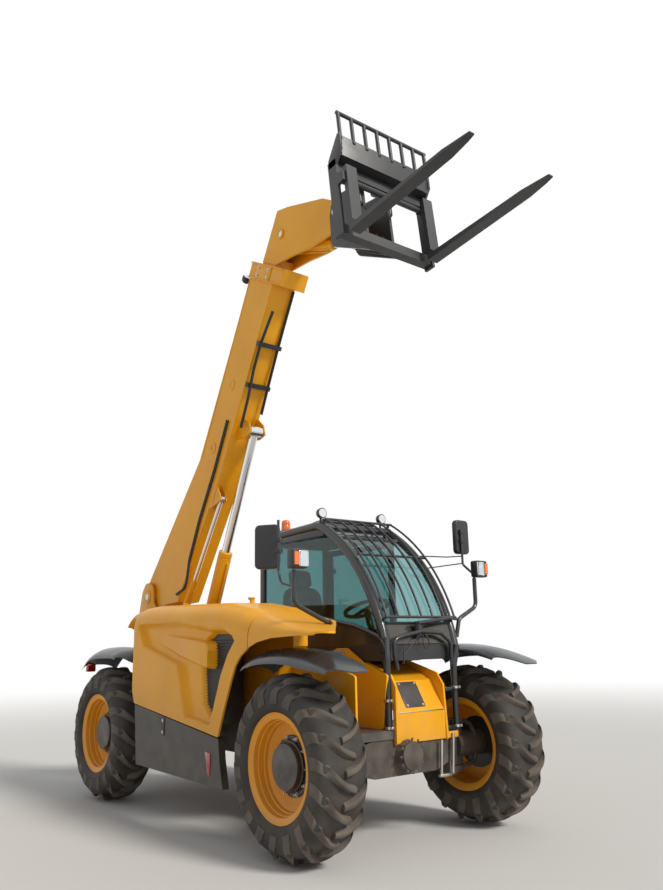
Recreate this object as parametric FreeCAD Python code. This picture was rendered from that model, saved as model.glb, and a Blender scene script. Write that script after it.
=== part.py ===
"""Telehandler with a two-stage boom and pallet forks, built as separate pieces.

Millimetres.  The machine is laid out in its own axes: X forward, Y to its left, Z up, with
X = 0 over the front axle and Z = 0 on the ground.  At the end every piece is moved along X,
so that the origin lies under the middle of the whole machine.
"""
import FreeCAD, Part
import math
import os

V = FreeCAD.Vector
X_DIR, Y_DIR, Z_DIR = V(1, 0, 0), V(0, 1, 0), V(0, 0, 1)

# Running clearances
SEAT_GAP = 0.3            # two pieces that rest on each other
PIN_GAP = 0.05            # radial clearance of a pin in its hole
BAR_SIDES = 12            # flats round a bent bar
THICK_BAR_R = 45          # a straight bar this thick has more flats
SLIM_FLATS, THICK_FLATS = 12, 16
LUGS = 18                 # on each side of a tyre, the two sides half a pitch apart
RIM_SIDES = LUGS          # flats round a rim

# Wheels and axles
WHEELBASE = 2970
TRACK = 1744              # between the tyres' middle planes
TYRE_R = 590
TYRE_W = 405
TREAD_R = 551             # to the middle of a flat between the lugs
BEAD_R = 308              # where the tyre sits on the rim
RIM_FLANGE_R = 345
RIM_WALL = 12
RIM_W = 330               # over the flanges
DISH_S = 18               # disc's inner face, outboard of the tyre's middle plane
HUB_R = 112
HUB_LENGTH = 90
KINGPIN_Y = TRACK / 2 - 272
KINGPIN_R = 25
STEER_MAX = 30
AXLE_Z = TYRE_R
AXLE_HALF_X = 120
AXLE_LOW, AXLE_TOP = 450, 700
AXLE_END_Y = KINGPIN_Y - 100
DIFF_R = 112
DIFF_REACH = 80           # how far the round cover stands out of the beam

# Chassis
FRAME_REAR = -WHEELBASE - 510
FRAME_FRONT = 130
FLOOR_LOW, FLOOR_TOP = AXLE_TOP, 760
FRAME_HALF_Y = 300
KEEL_LOW = 450
KEEL_HALF_Y = 240
SIDE_PLATE = 20
BAY_RIGHT, BAY_LEFT = -440, -160      # inner faces of the two side plates
BAY_TOP = 1290
SWEEP_TOP = 1065          # side plates are cut away below this beside a steered wheel
LEG_HALF = 280            # half length of a plate's leg over an axle
SWEEP_REACH = 770         # from an axle to what a steered wheel can't reach
WEIGHT_REAR = FRAME_REAR - 270
NOSE_LOW = 700
NOSE_RIGHT, NOSE_LEFT = -95, 420
NOSE_WALL = 15
NOSE_SLOPE = ((75, 1130), (142, 1050))      # sloping panel that carries the access cover
WEIGHT_HALF_Y = 330
WEIGHT_TOP = 1250
TOW_Z, TOW_PIN_R, TOW_PLATE, TOW_GAP = 715, 16, 25, 60      # jaw for a towing eye
TOW_HALF_Y, TOW_DEPTH = 70, 110

# Boom, in its own axes: U along the boom, W square to it, from the pivot
BOOM_Y = -300
BOOM_REST = 61.4
BOOM_LOW = 2.5
BOOM_HIGH = 68.0
PIVOT_X, PIVOT_Z = -WHEELBASE - 236.6, 1858.5
PIVOT_PIN_R = 40
PIVOT_HUB_R = 105
OUTER_HALF = 120
OUTER_WALL = 12
OUTER_TOP, OUTER_LOW = -270, -700
OUTER_END = 3440
HOLLOW_TOP, HOLLOW_LOW = -312, -640
KINK_U = 1584
COLLAR_START, COLLAR_END = 3420, 3575
COLLAR_HALF = 135
COLLAR_TOP, COLLAR_LOW = -258, -846
FLY_HALF = 95
FLY_WALL = 10
FLY_TOP, FLY_LOW = -385, -625
FLY_START = 1330
FLY_STROKE = 1700
NECK_START = 3590
NECK_HALF = 100
CHEEK = 22
HINGE_U, HINGE_W = 4118, -1406
HINGE_PIN_R = 30

# Cylinders: pins in the machine's X and Z, or in the boom's U and W
LIFT_Y, LIFT_BASE_X, LIFT_BASE_Z = -270, -WHEELBASE + 470, 1050
LIFT_EYE_U, LIFT_EYE_W = 2078, -835
LIFT_BARREL_R, LIFT_ROD_R, LIFT_PIN_R = 65, 40, 28
LEVEL_Y, LEVEL_BASE_X, LEVEL_BASE_Z = -384, -WHEELBASE + 110, 1220
LEVEL_EYE_U, LEVEL_EYE_W = 1380, -780
LEVEL_BARREL_R, LEVEL_ROD_R, LEVEL_PIN_R = 34, 20, 16
LIFT_EAR_HALF, LEVEL_EAR_HALF = 72, 24     # half the space between the ears
EAR = 12
LIFT_HEAD_ROOM, LEVEL_HEAD_ROOM, TILT_HEAD_ROOM = 125, 160, 74
TILT_BASE_U, TILT_BASE_W = 3780, -660
TILT_ARM, TILT_ARM_ANGLE = 250, -150
TILT_BARREL_R, TILT_ROD_R, TILT_PIN_R = 40, 24, 20
TILT_EAR_HALF = 54
CROWD, DUMP = 62, 35

# Carriage and forks, in the fork's axes from its heel: F forward, G up the shank
FORK_TILT = 6.7
HEEL_AHEAD, HEEL_DROP = 535.9, 506.0      # fork heel from the carriage's hinge
FORK_LENGTH = 1170
FORK_SPACING = 800
FORK_WIDTH, FORK_THICK = 100, 42
SHANK_TOP = 560
CARRIAGE_HALF = 475
GUARD_TOP = 1070
GUARD_BAR_COUNT = 8
FRAME_BACK = -140
POST, POST_FRONT, POST_TOP = 25, -45, 660     # side posts: plate thickness, front edge, top
HITCH_HALF = 120                              # half the space between the hitch plates
SHAFT_F, SHAFT_G, SHAFT_R = -18, 470, 22

# Cab
CAB_RIGHT, CAB_LEFT = -130, 640
CAB_REAR, CAB_FRONT = -1600, 60
CAB_WALL = 25
CAB_FLOOR = 800
CAB_SILL = 1350
ROOF_LOW, ROOF_TOP = 2290, 2350
DOOR_REAR, DOOR_FRONT = -1540, -620
DOOR_THICK = 30
DOOR_OPEN = 80
DOOR_PIN_R = 8
DOOR_PIN_Y = CAB_LEFT + 24
DOOR_HINGES = (1020, 1990)          # heights of the two hinges, one on the tub and one on the pillar
GLASS = 6
GUARD_BARS = 6
SCREEN_RUNS = 6           # straight runs in the windscreen's curve

# Engine pod on the right, and the left-hand tank
POD_OUTER = -1000
POD_INNER = BAY_RIGHT - SIDE_PLATE - SEAT_GAP
POD_WALL = 25
POD_TOP = 1690
HINGE_Y, HINGE_Z = -598, 1730
HINGE_R, SLEEVE_R = 8, 13
COVER_HINGES = (-WHEELBASE + 850, -1000)     # middle of each hinge
COVER_OPEN = 60
POD_REAR, POD_FRONT = -WHEELBASE + 370, -427
SHELF_REAR = POD_FRONT + 7

# Mudguards: crown line from rear to front (X from the axle, Z), and how far the edges droop
FRONT_CROWN = ((-580, 1222), (-350, 1319), (-85, 1345), (145, 1334), (345, 1290), (470, 1240), (634, 1150))
REAR_CROWN = ((-520, 1200), (-300, 1330), (-50, 1362), (180, 1350), (340, 1300), (430, 1225))
GUARD_SECTION = ((0.0, -45), (0.22, -8), (0.5, 0), (0.78, -26), (1.0, -110))      # share across, droop
GUARD_INNER, GUARD_OUTER = TRACK / 2 - 220, TRACK / 2 + 168
GUARD_THICK = 14
GUARD_POINT, GUARD_RISE = 210, 0.3      # a front one's outer rear corner is cut back this far, and rises


def box(x0, x1, y0, y1, z0, z1):
    """Block between three pairs of planes."""
    return Part.makeBox(x1 - x0, y1 - y0, z1 - z0, V(x0, y0, z0))


def prism(points, direction):
    """Flat closed outline of 3-D points, extruded."""
    return Part.Face(Part.makePolygon(points + points[:1])).extrude(direction)


def side_plate(points, y0, y1):
    """Outline in X and Z, between two planes across the machine."""
    return prism([V(x, y0, z) for x, z in points], V(0, y1 - y0, 0))


def cross_plate(points, x0, x1):
    """Outline in Y and Z, between two planes along the machine."""
    return prism([V(x0, y, z) for y, z in points], V(x1 - x0, 0, 0))


def flat_plate(points, z0, z1):
    """Outline in X and Y, between two heights."""
    return prism([V(x, y, z0) for x, y in points], V(0, 0, z1 - z0))


def flats(radius):
    """Number of flat sides that stand for a round bar."""
    return SLIM_FLATS if radius < THICK_BAR_R else THICK_FLATS


def bar_ring(centre, along, radius, sides, first=0):
    """Corners of a many-sided section square to a direction, the first one turned by a share of a side."""
    across = along.cross(Y_DIR if abs(along.dot(Y_DIR)) < 0.7 else X_DIR).normalize()
    other = along.cross(across)
    turn = 2 * math.pi / sides
    return [centre + across * (radius * math.cos(i * turn)) + other * (radius * math.sin(i * turn))
            for i in (first + number for number in range(sides))]


def rod(start, end, radius):
    """Bar between two points, its corners on the radius."""
    axis = end - start
    along = V(axis).normalize()
    return prism(bar_ring(start, along, radius, flats(radius)), axis)


def bore(start, end, radius):
    """Space for a turning bar of that radius: the middles of its flats lie on the radius."""
    axis = end - start
    along = V(axis).normalize()
    sides = flats(radius)
    return prism(bar_ring(start, along, radius / math.cos(math.pi / sides), sides, 0.5), axis)


def cone(start, end, start_radius, end_radius):
    """Bar whose radius changes along it."""
    along = (end - start).normalize()
    rings = [bar_ring(point, along, radius, THICK_FLATS) for point, radius in ((start, start_radius), (end, end_radius))]
    return solid_between(rings)


def solid_between(rings):
    """Solid through closed rings of points, with a flat face at each end."""
    faces = [flat_face(rings[0]), flat_face(rings[-1])]
    for ring, after in zip(rings, rings[1:]):
        for a, b, c, d in zip(ring, ring[1:] + ring[:1], after[1:] + after[:1], after):
            faces += patch(a, b, c, d)
    return outward(Part.Solid(Part.Shell(faces)))


def flat_face(corners):
    """Face with straight edges."""
    return Part.Face(Part.makePolygon(corners + corners[:1]))


def patch(a, b, c, d):
    """Four corners as one flat face, or as two triangles where they don't lie in a plane."""
    normal = (b - a).cross(c - a)
    if normal.Length > 0 and abs(normal.normalize().dot(d - a)) < 1e-6:
        return [flat_face([a, b, c, d])]
    return [flat_face(corners) for corners in ([a, b, c], [a, c, d])]


def outward(solid):
    """The same solid with its faces turned outwards."""
    return solid if solid.Volume > 0 else solid.reversed()


def bent_rod(points, radius):
    """Mitred bar through several points, many-sided in section."""
    section = bar_ring(points[0], (points[1] - points[0]).normalize(), radius, BAR_SIDES)
    ring = Part.makePolygon(section + section[:1])
    mitred = 1
    return Part.Wire(Part.makePolygon(points)).makePipeShell([ring], True, False, mitred)


def turned(profile, sides):
    """Piece about the Y axis in flats, from a closed outline of (along Y, radius to the middle of a flat)."""
    turn = 2 * math.pi / sides
    to_corner = 1 / math.cos(turn / 2)
    rings = []
    for number in range(sides):
        angle = (number + 0.5) * turn
        reach = V(math.sin(angle), 0, -math.cos(angle)) * to_corner
        rings.append([reach * r + V(0, s, 0) for s, r in profile])
    faces = []
    for ring, after in zip(rings, rings[1:] + rings[:1]):
        for a, b, c, d in zip(ring, ring[1:] + ring[:1], after[1:] + after[:1], after):
            corners = [a, b] + [c] * (not b.isEqual(c, 1e-6)) + [d] * (not a.isEqual(d, 1e-6))
            if len(corners) > 2:
                faces.append(flat_face(corners))
    return outward(Part.Solid(Part.Shell(faces)).removeSplitter())


def cross_pin(x, z, y0, y1, radius):
    """Round bar across the machine."""
    return rod(V(x, y0, z), V(x, y1, z), radius)


def cross_bore(x, z, y0, y1, radius):
    """Hole across the machine for a turning bar."""
    return bore(V(x, y0, z), V(x, y1, z), radius)


def upright(x, y, z0, z1, radius):
    """Round upright bar."""
    return rod(V(x, y, z0), V(x, y, z1), radius)


def upright_bore(x, y, z0, z1, radius):
    """Upright hole for a turning bar."""
    return bore(V(x, y, z0), V(x, y, z1), radius)


def join(shapes):
    """One solid from several that meet."""
    first, rest = shapes[0], shapes[1:]
    return first.fuse(rest).removeSplitter() if rest else first


def boom_point(u, w, angle=BOOM_REST):
    """X and Z of a point given along and square to the boom."""
    turn = math.radians(angle)
    cos, sin = math.cos(turn), math.sin(turn)
    return PIVOT_X + u * cos - w * sin, PIVOT_Z + u * sin + w * cos


def boom_plate(points, y0, y1):
    """Outline in the boom's axes, between two planes across the machine."""
    return side_plate([boom_point(u, w) for u, w in points], y0, y1)


def boom_box(u0, u1, w0, w1, y0, y1):
    """Block along the boom."""
    return boom_plate([(u0, w0), (u1, w0), (u1, w1), (u0, w1)], y0, y1)


def boom_pin(u, w, y0, y1, radius):
    """Round bar across the boom."""
    x, z = boom_point(u, w)
    return cross_pin(x, z, y0, y1, radius)


def boom_bore(u, w, radius):
    """Hole across the boom for a turning bar."""
    x, z = boom_point(u, w)
    return cross_bore(x, z, BOOM_Y - 300, BOOM_Y + 400, radius)


def fork_heel():
    """X and Z of the forks' heel, from the carriage's hinge."""
    x, z = boom_point(HINGE_U, HINGE_W)
    return x + HEEL_AHEAD, z - HEEL_DROP


def fork_point(f, g):
    """X and Z of a point given along the fork's blade and up its shank."""
    turn = math.radians(FORK_TILT)
    cos, sin = math.cos(turn), math.sin(turn)
    heel_x, heel_z = fork_heel()
    return heel_x + f * cos - g * sin, heel_z + f * sin + g * cos


def fork_plate(points, y0, y1):
    """Outline in the fork's axes, between two planes across the machine."""
    return side_plate([fork_point(f, g) for f, g in points], y0, y1)


def fork_box(f0, f1, g0, g1, y0, y1):
    """Block square to the forks."""
    return fork_plate([(f0, g0), (f1, g0), (f1, g1), (f0, g1)], y0, y1)


def tilt_point():
    """The tilt cylinder's pin on the carriage, in the boom's axes."""
    turn = math.radians(TILT_ARM_ANGLE)
    return HINGE_U + TILT_ARM * math.cos(turn), HINGE_W + TILT_ARM * math.sin(turn)


def tyre():
    """Tyre about the Y axis: a casing in flats, with slanted lugs fused to it."""
    half = TYRE_W / 2
    bead = RIM_W / 2 - 15
    side = [(bead, BEAD_R), (bead, RIM_FLANGE_R), (half - 7, 430), (half - 7, 505), (half - 45, TREAD_R)]
    casing = turned(side + [(-s, r) for s, r in reversed(side)], RIM_SIDES)
    lugs = []
    pitch = 2 * math.pi / LUGS
    for hand, offset in ((1, 0.0), (-1, 0.5)):
        for number in range(LUGS):
            lugs.append(lug(hand, (number + offset) * pitch))
    return casing.fuse(lugs).removeSplitter()


# Stations of a lug from the tread's middle to the side wall
LUG_STATIONS = (             # across, base radius, top radius, drift round the wheel in degrees, half width
    (-9, 525, TYRE_R, 13.8, 20),
    (TYRE_W / 2 - 9, 470, 570, 0.0, 27),
)


def lug(hand, first):
    """One lug: a slanted bar from the middle of the tread over the shoulder."""
    rings = []
    for across, base, top, drift, half in LUG_STATIONS:
        middle = first + math.radians(drift)
        ring = []
        for radius, sign, share in ((base, -1, 1.25), (base, 1, 1.25), (top, 1, 0.85), (top, -1, 0.85)):
            angle = middle + sign * share * half / radius
            ring.append(V(radius * math.cos(angle), hand * across, -radius * math.sin(angle)))
        rings.append(ring)
    return solid_between(rings)


def rim():
    """Deep-dished rim about the Y axis, outer side towards +Y, with its hub."""
    half = RIM_W / 2
    bead = half - 15 + SEAT_GAP
    seat = BEAD_R - SEAT_GAP
    inner = seat - RIM_WALL
    lip = RIM_FLANGE_R - RIM_WALL
    knee = bead + 2
    outline = [(-half, RIM_FLANGE_R), (-bead, RIM_FLANGE_R), (-bead, seat), (bead, seat), (bead, RIM_FLANGE_R),
               (half, RIM_FLANGE_R), (half, lip), (knee, inner), (DISH_S + 40, inner - 8), (DISH_S + 14, HUB_R), (DISH_S + HUB_LENGTH, HUB_R - 8), (DISH_S + HUB_LENGTH, 0), (DISH_S, 0),
               (DISH_S, inner), (-knee, inner), (-half, lip)]
    return turned(outline, RIM_SIDES)


def knuckle():
    """Swivelling hub carrier of a left wheel, about the axle's middle."""
    end = TRACK / 2 + DISH_S - SEAT_GAP
    housing = box(-54, 54, KINGPIN_Y - 54, KINGPIN_Y + 54, -140, 140)
    pin = upright(0, KINGPIN_Y, -185, 185, KINGPIN_R)
    spindle = cross_pin(0, 0, KINGPIN_Y, end, 98)
    arm = box(-190, -60, KINGPIN_Y - 10, KINGPIN_Y + 40, -60, -20)
    return join([housing, pin, spindle, arm])


def axle(x):
    """Drive axle: beam, yokes that hold the kingpins, and the differential."""
    beam_side = [(AXLE_END_Y, 520), (300, AXLE_LOW), (-300, AXLE_LOW), (-AXLE_END_Y, 520),
                 (-AXLE_END_Y, 660), (-300, AXLE_TOP), (300, AXLE_TOP), (AXLE_END_Y, 660)]
    pieces = [cross_plate(beam_side, x - AXLE_HALF_X, x + AXLE_HALF_X)]
    for side in (1, -1):
        pieces.append(yoke(x, side))
    forward = 1 if x == 0 else -1
    face = x + forward * AXLE_HALF_X
    start = V(face - forward, 0, AXLE_Z - 5)
    pieces.append(cone(start, start + X_DIR * (forward * DIFF_REACH), DIFF_R, DIFF_R - 25))
    return join(pieces)


def yoke(x, side):
    """Two ears and a web at one end of an axle."""
    y0, y1 = sorted((side * AXLE_END_Y, side * (KINGPIN_Y - 82)))
    web = box(x - 62, x + 62, y0, y1, AXLE_Z - 190, AXLE_Z + 190)
    y0, y1 = sorted((side * AXLE_END_Y, side * (KINGPIN_Y + 60)))
    ears = [box(x - 62, x + 62, y0, y1, AXLE_Z + 145, AXLE_Z + 190),
            box(x - 62, x + 62, y0, y1, AXLE_Z - 190, AXLE_Z - 145)]
    hole = upright_bore(x, side * KINGPIN_Y, AXLE_Z - 250, AXLE_Z + 250, KINGPIN_R + PIN_GAP)
    return join([web] + ears).cut(hole)


def frame_floor_outline(y_limit):
    """Outline of the chassis floor, narrow beside the wheels, in X and Y."""
    rear_leg = (-WHEELBASE - LEG_HALF, -WHEELBASE + LEG_HALF)
    middle = (-WHEELBASE + SWEEP_REACH, -SWEEP_REACH)
    front_leg = (-LEG_HALF, FRAME_FRONT)
    points = [(FRAME_REAR, -FRAME_HALF_Y)]
    for start, end in (rear_leg, middle, front_leg):
        points += [(start, -FRAME_HALF_Y), (start, y_limit), (end, y_limit), (end, -FRAME_HALF_Y)]
    points.pop()
    return points + [(FRAME_FRONT, FRAME_HALF_Y), (FRAME_REAR, FRAME_HALF_Y)]


def chassis_frame():
    """Floor plate and the deep keel box between the axles."""
    floor = flat_plate(frame_floor_outline(BAY_RIGHT - SIDE_PLATE), FLOOR_LOW, FLOOR_TOP)
    keel = box(-WHEELBASE + AXLE_HALF_X + 20, -AXLE_HALF_X - 20, -KEEL_HALF_Y, KEEL_HALF_Y, KEEL_LOW, FLOOR_LOW)
    bearers = [box(x, x + 60, POD_OUTER + 60, BAY_RIGHT - SIDE_PLATE, FLOOR_LOW, FLOOR_TOP)
               for x in (-WHEELBASE + SWEEP_REACH + 200, -SWEEP_REACH - 550)]
    return join([floor, keel] + bearers)


def bay_plate_outline(cut_for_wheels):
    """Outline of a plate beside the boom bay, with the tower that holds the pivot."""
    front = FRAME_FRONT if cut_for_wheels else CAB_FRONT
    top = [(front, 1380), (-60, 1380), (-330, BAY_TOP), (-WHEELBASE + 520, BAY_TOP), (-WHEELBASE + 210, 1480),
           (PIVOT_X + 135, PIVOT_Z - 60), (PIVOT_X + 110, PIVOT_Z + 90), (PIVOT_X + 40, PIVOT_Z + 145),
           (PIVOT_X - 60, PIVOT_Z + 135), (PIVOT_X - 130, PIVOT_Z + 60), (FRAME_REAR, 1400)]
    if not cut_for_wheels:
        return top + [(FRAME_REAR, FLOOR_TOP), (front, FLOOR_TOP)]
    low = [(FRAME_REAR, SWEEP_TOP)]
    legs = ((-WHEELBASE - LEG_HALF, -WHEELBASE + LEG_HALF), (-WHEELBASE + SWEEP_REACH, -SWEEP_REACH),
            (-LEG_HALF, FRAME_FRONT))
    for start, end in legs:
        low += [(start, SWEEP_TOP), (start, FLOOR_TOP), (end, FLOOR_TOP), (end, SWEEP_TOP)]
    low.pop()
    return top + low


def boom_bay():
    """The two upright plates beside the boom, joined behind it, with the pivot pin and cylinder pins."""
    right = side_plate(bay_plate_outline(True), BAY_RIGHT - SIDE_PLATE, BAY_RIGHT)
    left = side_plate(bay_plate_outline(False), BAY_LEFT, BAY_LEFT + SIDE_PLATE)
    back = cross_plate([(BAY_LEFT, FLOOR_TOP), (-330, FLOOR_TOP), (-330, SWEEP_TOP), (BAY_RIGHT, SWEEP_TOP),
                        (BAY_RIGHT, 1300), (BAY_LEFT, 1300)], FRAME_REAR, FRAME_REAR + SIDE_PLATE)
    tie = box(-WHEELBASE - 60, -WHEELBASE + 40, BAY_RIGHT, BAY_LEFT, FLOOR_TOP, 960)
    pins = [cross_pin(x, z, BAY_RIGHT - SIDE_PLATE - 6, BAY_LEFT + SIDE_PLATE + 6, radius)
            for x, z, radius in ((PIVOT_X, PIVOT_Z, PIVOT_PIN_R), (LIFT_BASE_X, LIFT_BASE_Z, LIFT_PIN_R),
                                 (LEVEL_BASE_X, LEVEL_BASE_Z, LEVEL_PIN_R))]
    return join([right, left, back, tie] + pins)


def counterweight():
    """Cast weight behind the frame, with an upright slot that holds a jaw for a towing eye."""
    outline = [(FRAME_REAR, 560), (WEIGHT_REAR + 60, 560), (WEIGHT_REAR, 640), (WEIGHT_REAR, 1120),
               (WEIGHT_REAR + 90, WEIGHT_TOP), (FRAME_REAR, WEIGHT_TOP)]
    block = side_plate(outline, -WEIGHT_HALF_Y, WEIGHT_HALF_Y)
    slot = box(WEIGHT_REAR - 1, WEIGHT_REAR + TOW_DEPTH, -TOW_HALF_Y, TOW_HALF_Y, 600, WEIGHT_TOP + 10)
    jaws = [box(WEIGHT_REAR + 5, WEIGHT_REAR + TOW_DEPTH, -TOW_HALF_Y, TOW_HALF_Y, z, z + TOW_PLATE)
            for z in (TOW_Z - TOW_GAP / 2 - TOW_PLATE, TOW_Z + TOW_GAP / 2)]
    hole = Part.makeCylinder(TOW_PIN_R, 200, V(WEIGHT_REAR + TOW_DEPTH / 2, 0, TOW_Z - 100), Z_DIR)
    return join([block.cut(slot)] + jaws).cut(hole)


def nose():
    """Box ahead of the cab: two cheeks, a sloping top and a front plate."""
    outline = [(-470, 1225), (-240, 1225), NOSE_SLOPE[0], NOSE_SLOPE[1], (FRAME_FRONT + 12, NOSE_LOW),
               (FRAME_FRONT + SEAT_GAP, NOSE_LOW), (FRAME_FRONT + SEAT_GAP, FLOOR_TOP), (-LEG_HALF, FLOOR_TOP),
               (-LEG_HALF, 1100), (-470, 1200)]
    solid = side_plate(outline, NOSE_RIGHT, NOSE_LEFT)
    hollow = side_plate([(-600, 1213), (-243, 1213), (68, 1119), (FRAME_FRONT, 1042), (FRAME_FRONT, 740),
                         (-600, 740)], NOSE_RIGHT + NOSE_WALL, NOSE_LEFT - NOSE_WALL)
    return solid.cut(hollow)


def nose_cover():
    """Dark access cover on the sloping top of the nose."""
    (x0, z0), (x1, z1) = NOSE_SLOPE
    length = math.hypot(x1 - x0, z1 - z0)
    along = ((x1 - x0) / length, (z1 - z0) / length)
    out = (-along[1], along[0])

    def point(run, height):
        return x0 + along[0] * run + out[0] * height, z0 + along[1] * run + out[1] * height

    margin = 8
    corners = [point(margin, SEAT_GAP), point(length - margin, SEAT_GAP), point(length - margin, 6), point(margin, 6)]
    return side_plate(corners, 60, 240)


def engine_block():
    """Engine and gearbox as one plain block."""
    return box(-WHEELBASE + 890, -1180, POD_OUTER + 60, -560, FLOOR_TOP, 1500)


def pod_outline(inset):
    """Side view of the engine pod in X and Z, drawn in by a wall's thickness."""
    i = inset
    rear = POD_REAR
    return [(rear + 332 + i, 886 + i), (-822 - i, 712 + i), (-727 - i, 945), (-592 - i, 1220 + i),
            (POD_FRONT - i, 1352 + i), (POD_FRONT - i, 1600 - i), (-560, 1640 - i), (-900, POD_TOP - i),
            (rear + 400 + i, 1715 - i), (rear + 150 + i, 1682 - i), (rear + i, 1560), (rear + i, 1475),
            (rear + 192 + i, 1147)]


def pod_section(inset):
    """Cross-section of the pod in Y and Z, with its round upper outer edge."""
    i = inset
    return [(POD_INNER - i, 600), (POD_INNER - i, 1800 - i), (POD_OUTER + 190, 1800 - i), (POD_OUTER + 120, 1690 - i),
            (POD_OUTER + 45 + i, 1620 - i), (POD_OUTER + i, 1530), (POD_OUTER + i, 600)]


def pod_body(inset):
    """Solid body of the pod, drawn in by a wall's thickness."""
    side = side_plate(pod_outline(inset), POD_OUTER, POD_INNER)
    return side.common(cross_plate(pod_section(inset), POD_REAR - 50, -300))


def pod_shell():
    """Hollow pod, open downwards."""
    open_floor = box(POD_REAR + 360, -860, POD_OUTER + POD_WALL, POD_INNER - POD_WALL, 600, 1000)
    return pod_body(0).cut(pod_body(POD_WALL)).cut(open_floor)


def cover_space(gap):
    """Space of the hinged cover: the outer side and the top, out to the hinge line."""
    return box(POD_REAR - gap - 100, POD_FRONT + gap, POD_OUTER - 10, HINGE_Y + gap, 600, 1800)


def engine_cover():
    """Hinged cover of the engine pod."""
    cover = pod_shell().common(cover_space(0)).cut(vent_space(0))
    pieces = [cover]
    for x in COVER_HINGES:
        x0, x1 = x - 10, x + 40
        pieces.append(rod(V(x0, HINGE_Y, HINGE_Z), V(x1, HINGE_Y, HINGE_Z), SLEEVE_R))
        pieces.append(box(x0, x1, HINGE_Y - 42, HINGE_Y - 6, POD_TOP - 10, HINGE_Z - 3))
    cover = join(pieces)
    for x in COVER_HINGES:
        cover = cover.cut(bore(V(x - 60, HINGE_Y, HINGE_Z), V(x + 60, HINGE_Y, HINGE_Z), HINGE_R + PIN_GAP))
    return cover


def engine_pod():
    """Fixed part of the pod, with the hinge pins of its cover in two lugs."""
    pieces = [pod_shell().cut(cover_space(6))]
    for x in COVER_HINGES:
        pieces.append(rod(V(x - 40, HINGE_Y, HINGE_Z), V(x + 45, HINGE_Y, HINGE_Z), HINGE_R))
        pieces.append(box(x - 40, x - 16, HINGE_Y + 8, HINGE_Y + 40, POD_TOP - 10, HINGE_Z + 12))
        pieces.append(box(x - 40, x - 16, HINGE_Y - 8, HINGE_Y + 9, HINGE_Z - 8, HINGE_Z + 12))
    return join(pieces)


def vent_space(gap):
    """Outline of the side vent, narrow below, that leans forward with the wheel arch."""
    outline = [(-1125 - gap, 1340), (-1070, 1420 + gap), (-980, 1465 + gap), (-820, 1465 + gap), (-655 + gap, 1410 + gap),
               (-712 + gap, 1320), (-812 + gap, 1146), (-925 + gap, 875), (-962 + gap, 820 - gap), (-1035, 858 - gap),
               (-1118 - gap, 935 - gap)]
    return side_plate(outline, POD_OUTER - 10, POD_OUTER + POD_WALL + 10)


def cover_vent():
    """Dark grille that closes the vent."""
    return vent_space(-SEAT_GAP).common(box(-1200, -600, POD_OUTER + 6, POD_OUTER + POD_WALL, 800, 1500))


def side_skirt():
    """Dark lower skirt between the wheels."""
    outline = [(-WHEELBASE + 770, 390), (-750, 360), (-800, 550), (-822, 700), (-WHEELBASE + 708, 876)]
    return side_plate(outline, POD_OUTER + 5, POD_OUTER + 60)


def front_shelf():
    """Panel that carries the pod's line forward over the front wheel."""
    rear = SHELF_REAR
    outline = [(rear, 1352), (rear, 1600), (40, 1500), (300, 1462), (470, 1440), (470, 1425), (100, 1385)]
    plan = [(rear, -1000), (300, -1000), (450, -960), (500, -800), (480, POD_INNER), (rear, POD_INNER)]
    solid = side_plate(outline, -1000, POD_INNER).common(flat_plate(plan, 1300, 1700))
    inner = side_plate([(rear - 30, 1300), (rear - 30, 1575), (40, 1478), (300, 1440), (420, 1410), (420, 1300)],
                       -1000 + POD_WALL, POD_INNER - POD_WALL)
    return solid.cut(inner)


def mudguard(axle_x, side, crown, point):
    """Crowned shell over one wheel: a section with drooping edges, its outer rear corner cut back to a point."""
    rings = []
    for x, z in crown:
        top = []
        for share, droop in GUARD_SECTION:
            back = point * max(0.0, 2 * share - 1) if x == crown[0][0] else 0
            y = GUARD_INNER + (GUARD_OUTER - GUARD_INNER) * share
            top.append(V(axle_x + x + back, side * y, z + droop + back * GUARD_RISE))
        rings.append(top + [corner - V(0, 0, GUARD_THICK) for corner in reversed(top)])
    faces = []
    for ring, after in zip(rings, rings[1:]):
        for a, b, c, d in zip(ring, ring[1:] + ring[:1], after[1:] + after[:1], after):
            faces += patch(a, b, c, d)
    across = len(GUARD_SECTION)
    for ring in (rings[0], rings[-1]):
        top, under = ring[:across], ring[:across - 1:-1]
        for a, b, c, d in zip(top, top[1:], under[1:], under):
            faces += patch(a, b, c, d)
    return outward(Part.Solid(Part.Shell(faces)))


def mudguards():
    """Four mudguards with their brackets."""
    pieces = []
    plate = BAY_RIGHT - SIDE_PLATE
    for side, front_seat, rear_seat in ((1, CAB_LEFT, BAY_LEFT + SIDE_PLATE), (-1, plate, plate)):
        for axle_x, crown, point, seat in ((0, FRONT_CROWN, GUARD_POINT, front_seat),
                                           (-WHEELBASE, REAR_CROWN, 0, rear_seat)):
            under = max(z for x, z in crown) - GUARD_THICK - 18
            guard = mudguard(axle_x, side, crown, point)
            pieces.append(join([guard, bracket(axle_x - 20, seat, side * GUARD_INNER, under)]))
    return Part.makeCompound(pieces)


def bracket(x, seat, edge, z):
    """Bar that carries a mudguard from the chassis, just under its crown."""
    reach = edge + math.copysign(150, edge)
    y0, y1 = sorted((seat, reach))
    return box(x - 30, x + 30, y0, y1, z, z + 22)


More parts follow.
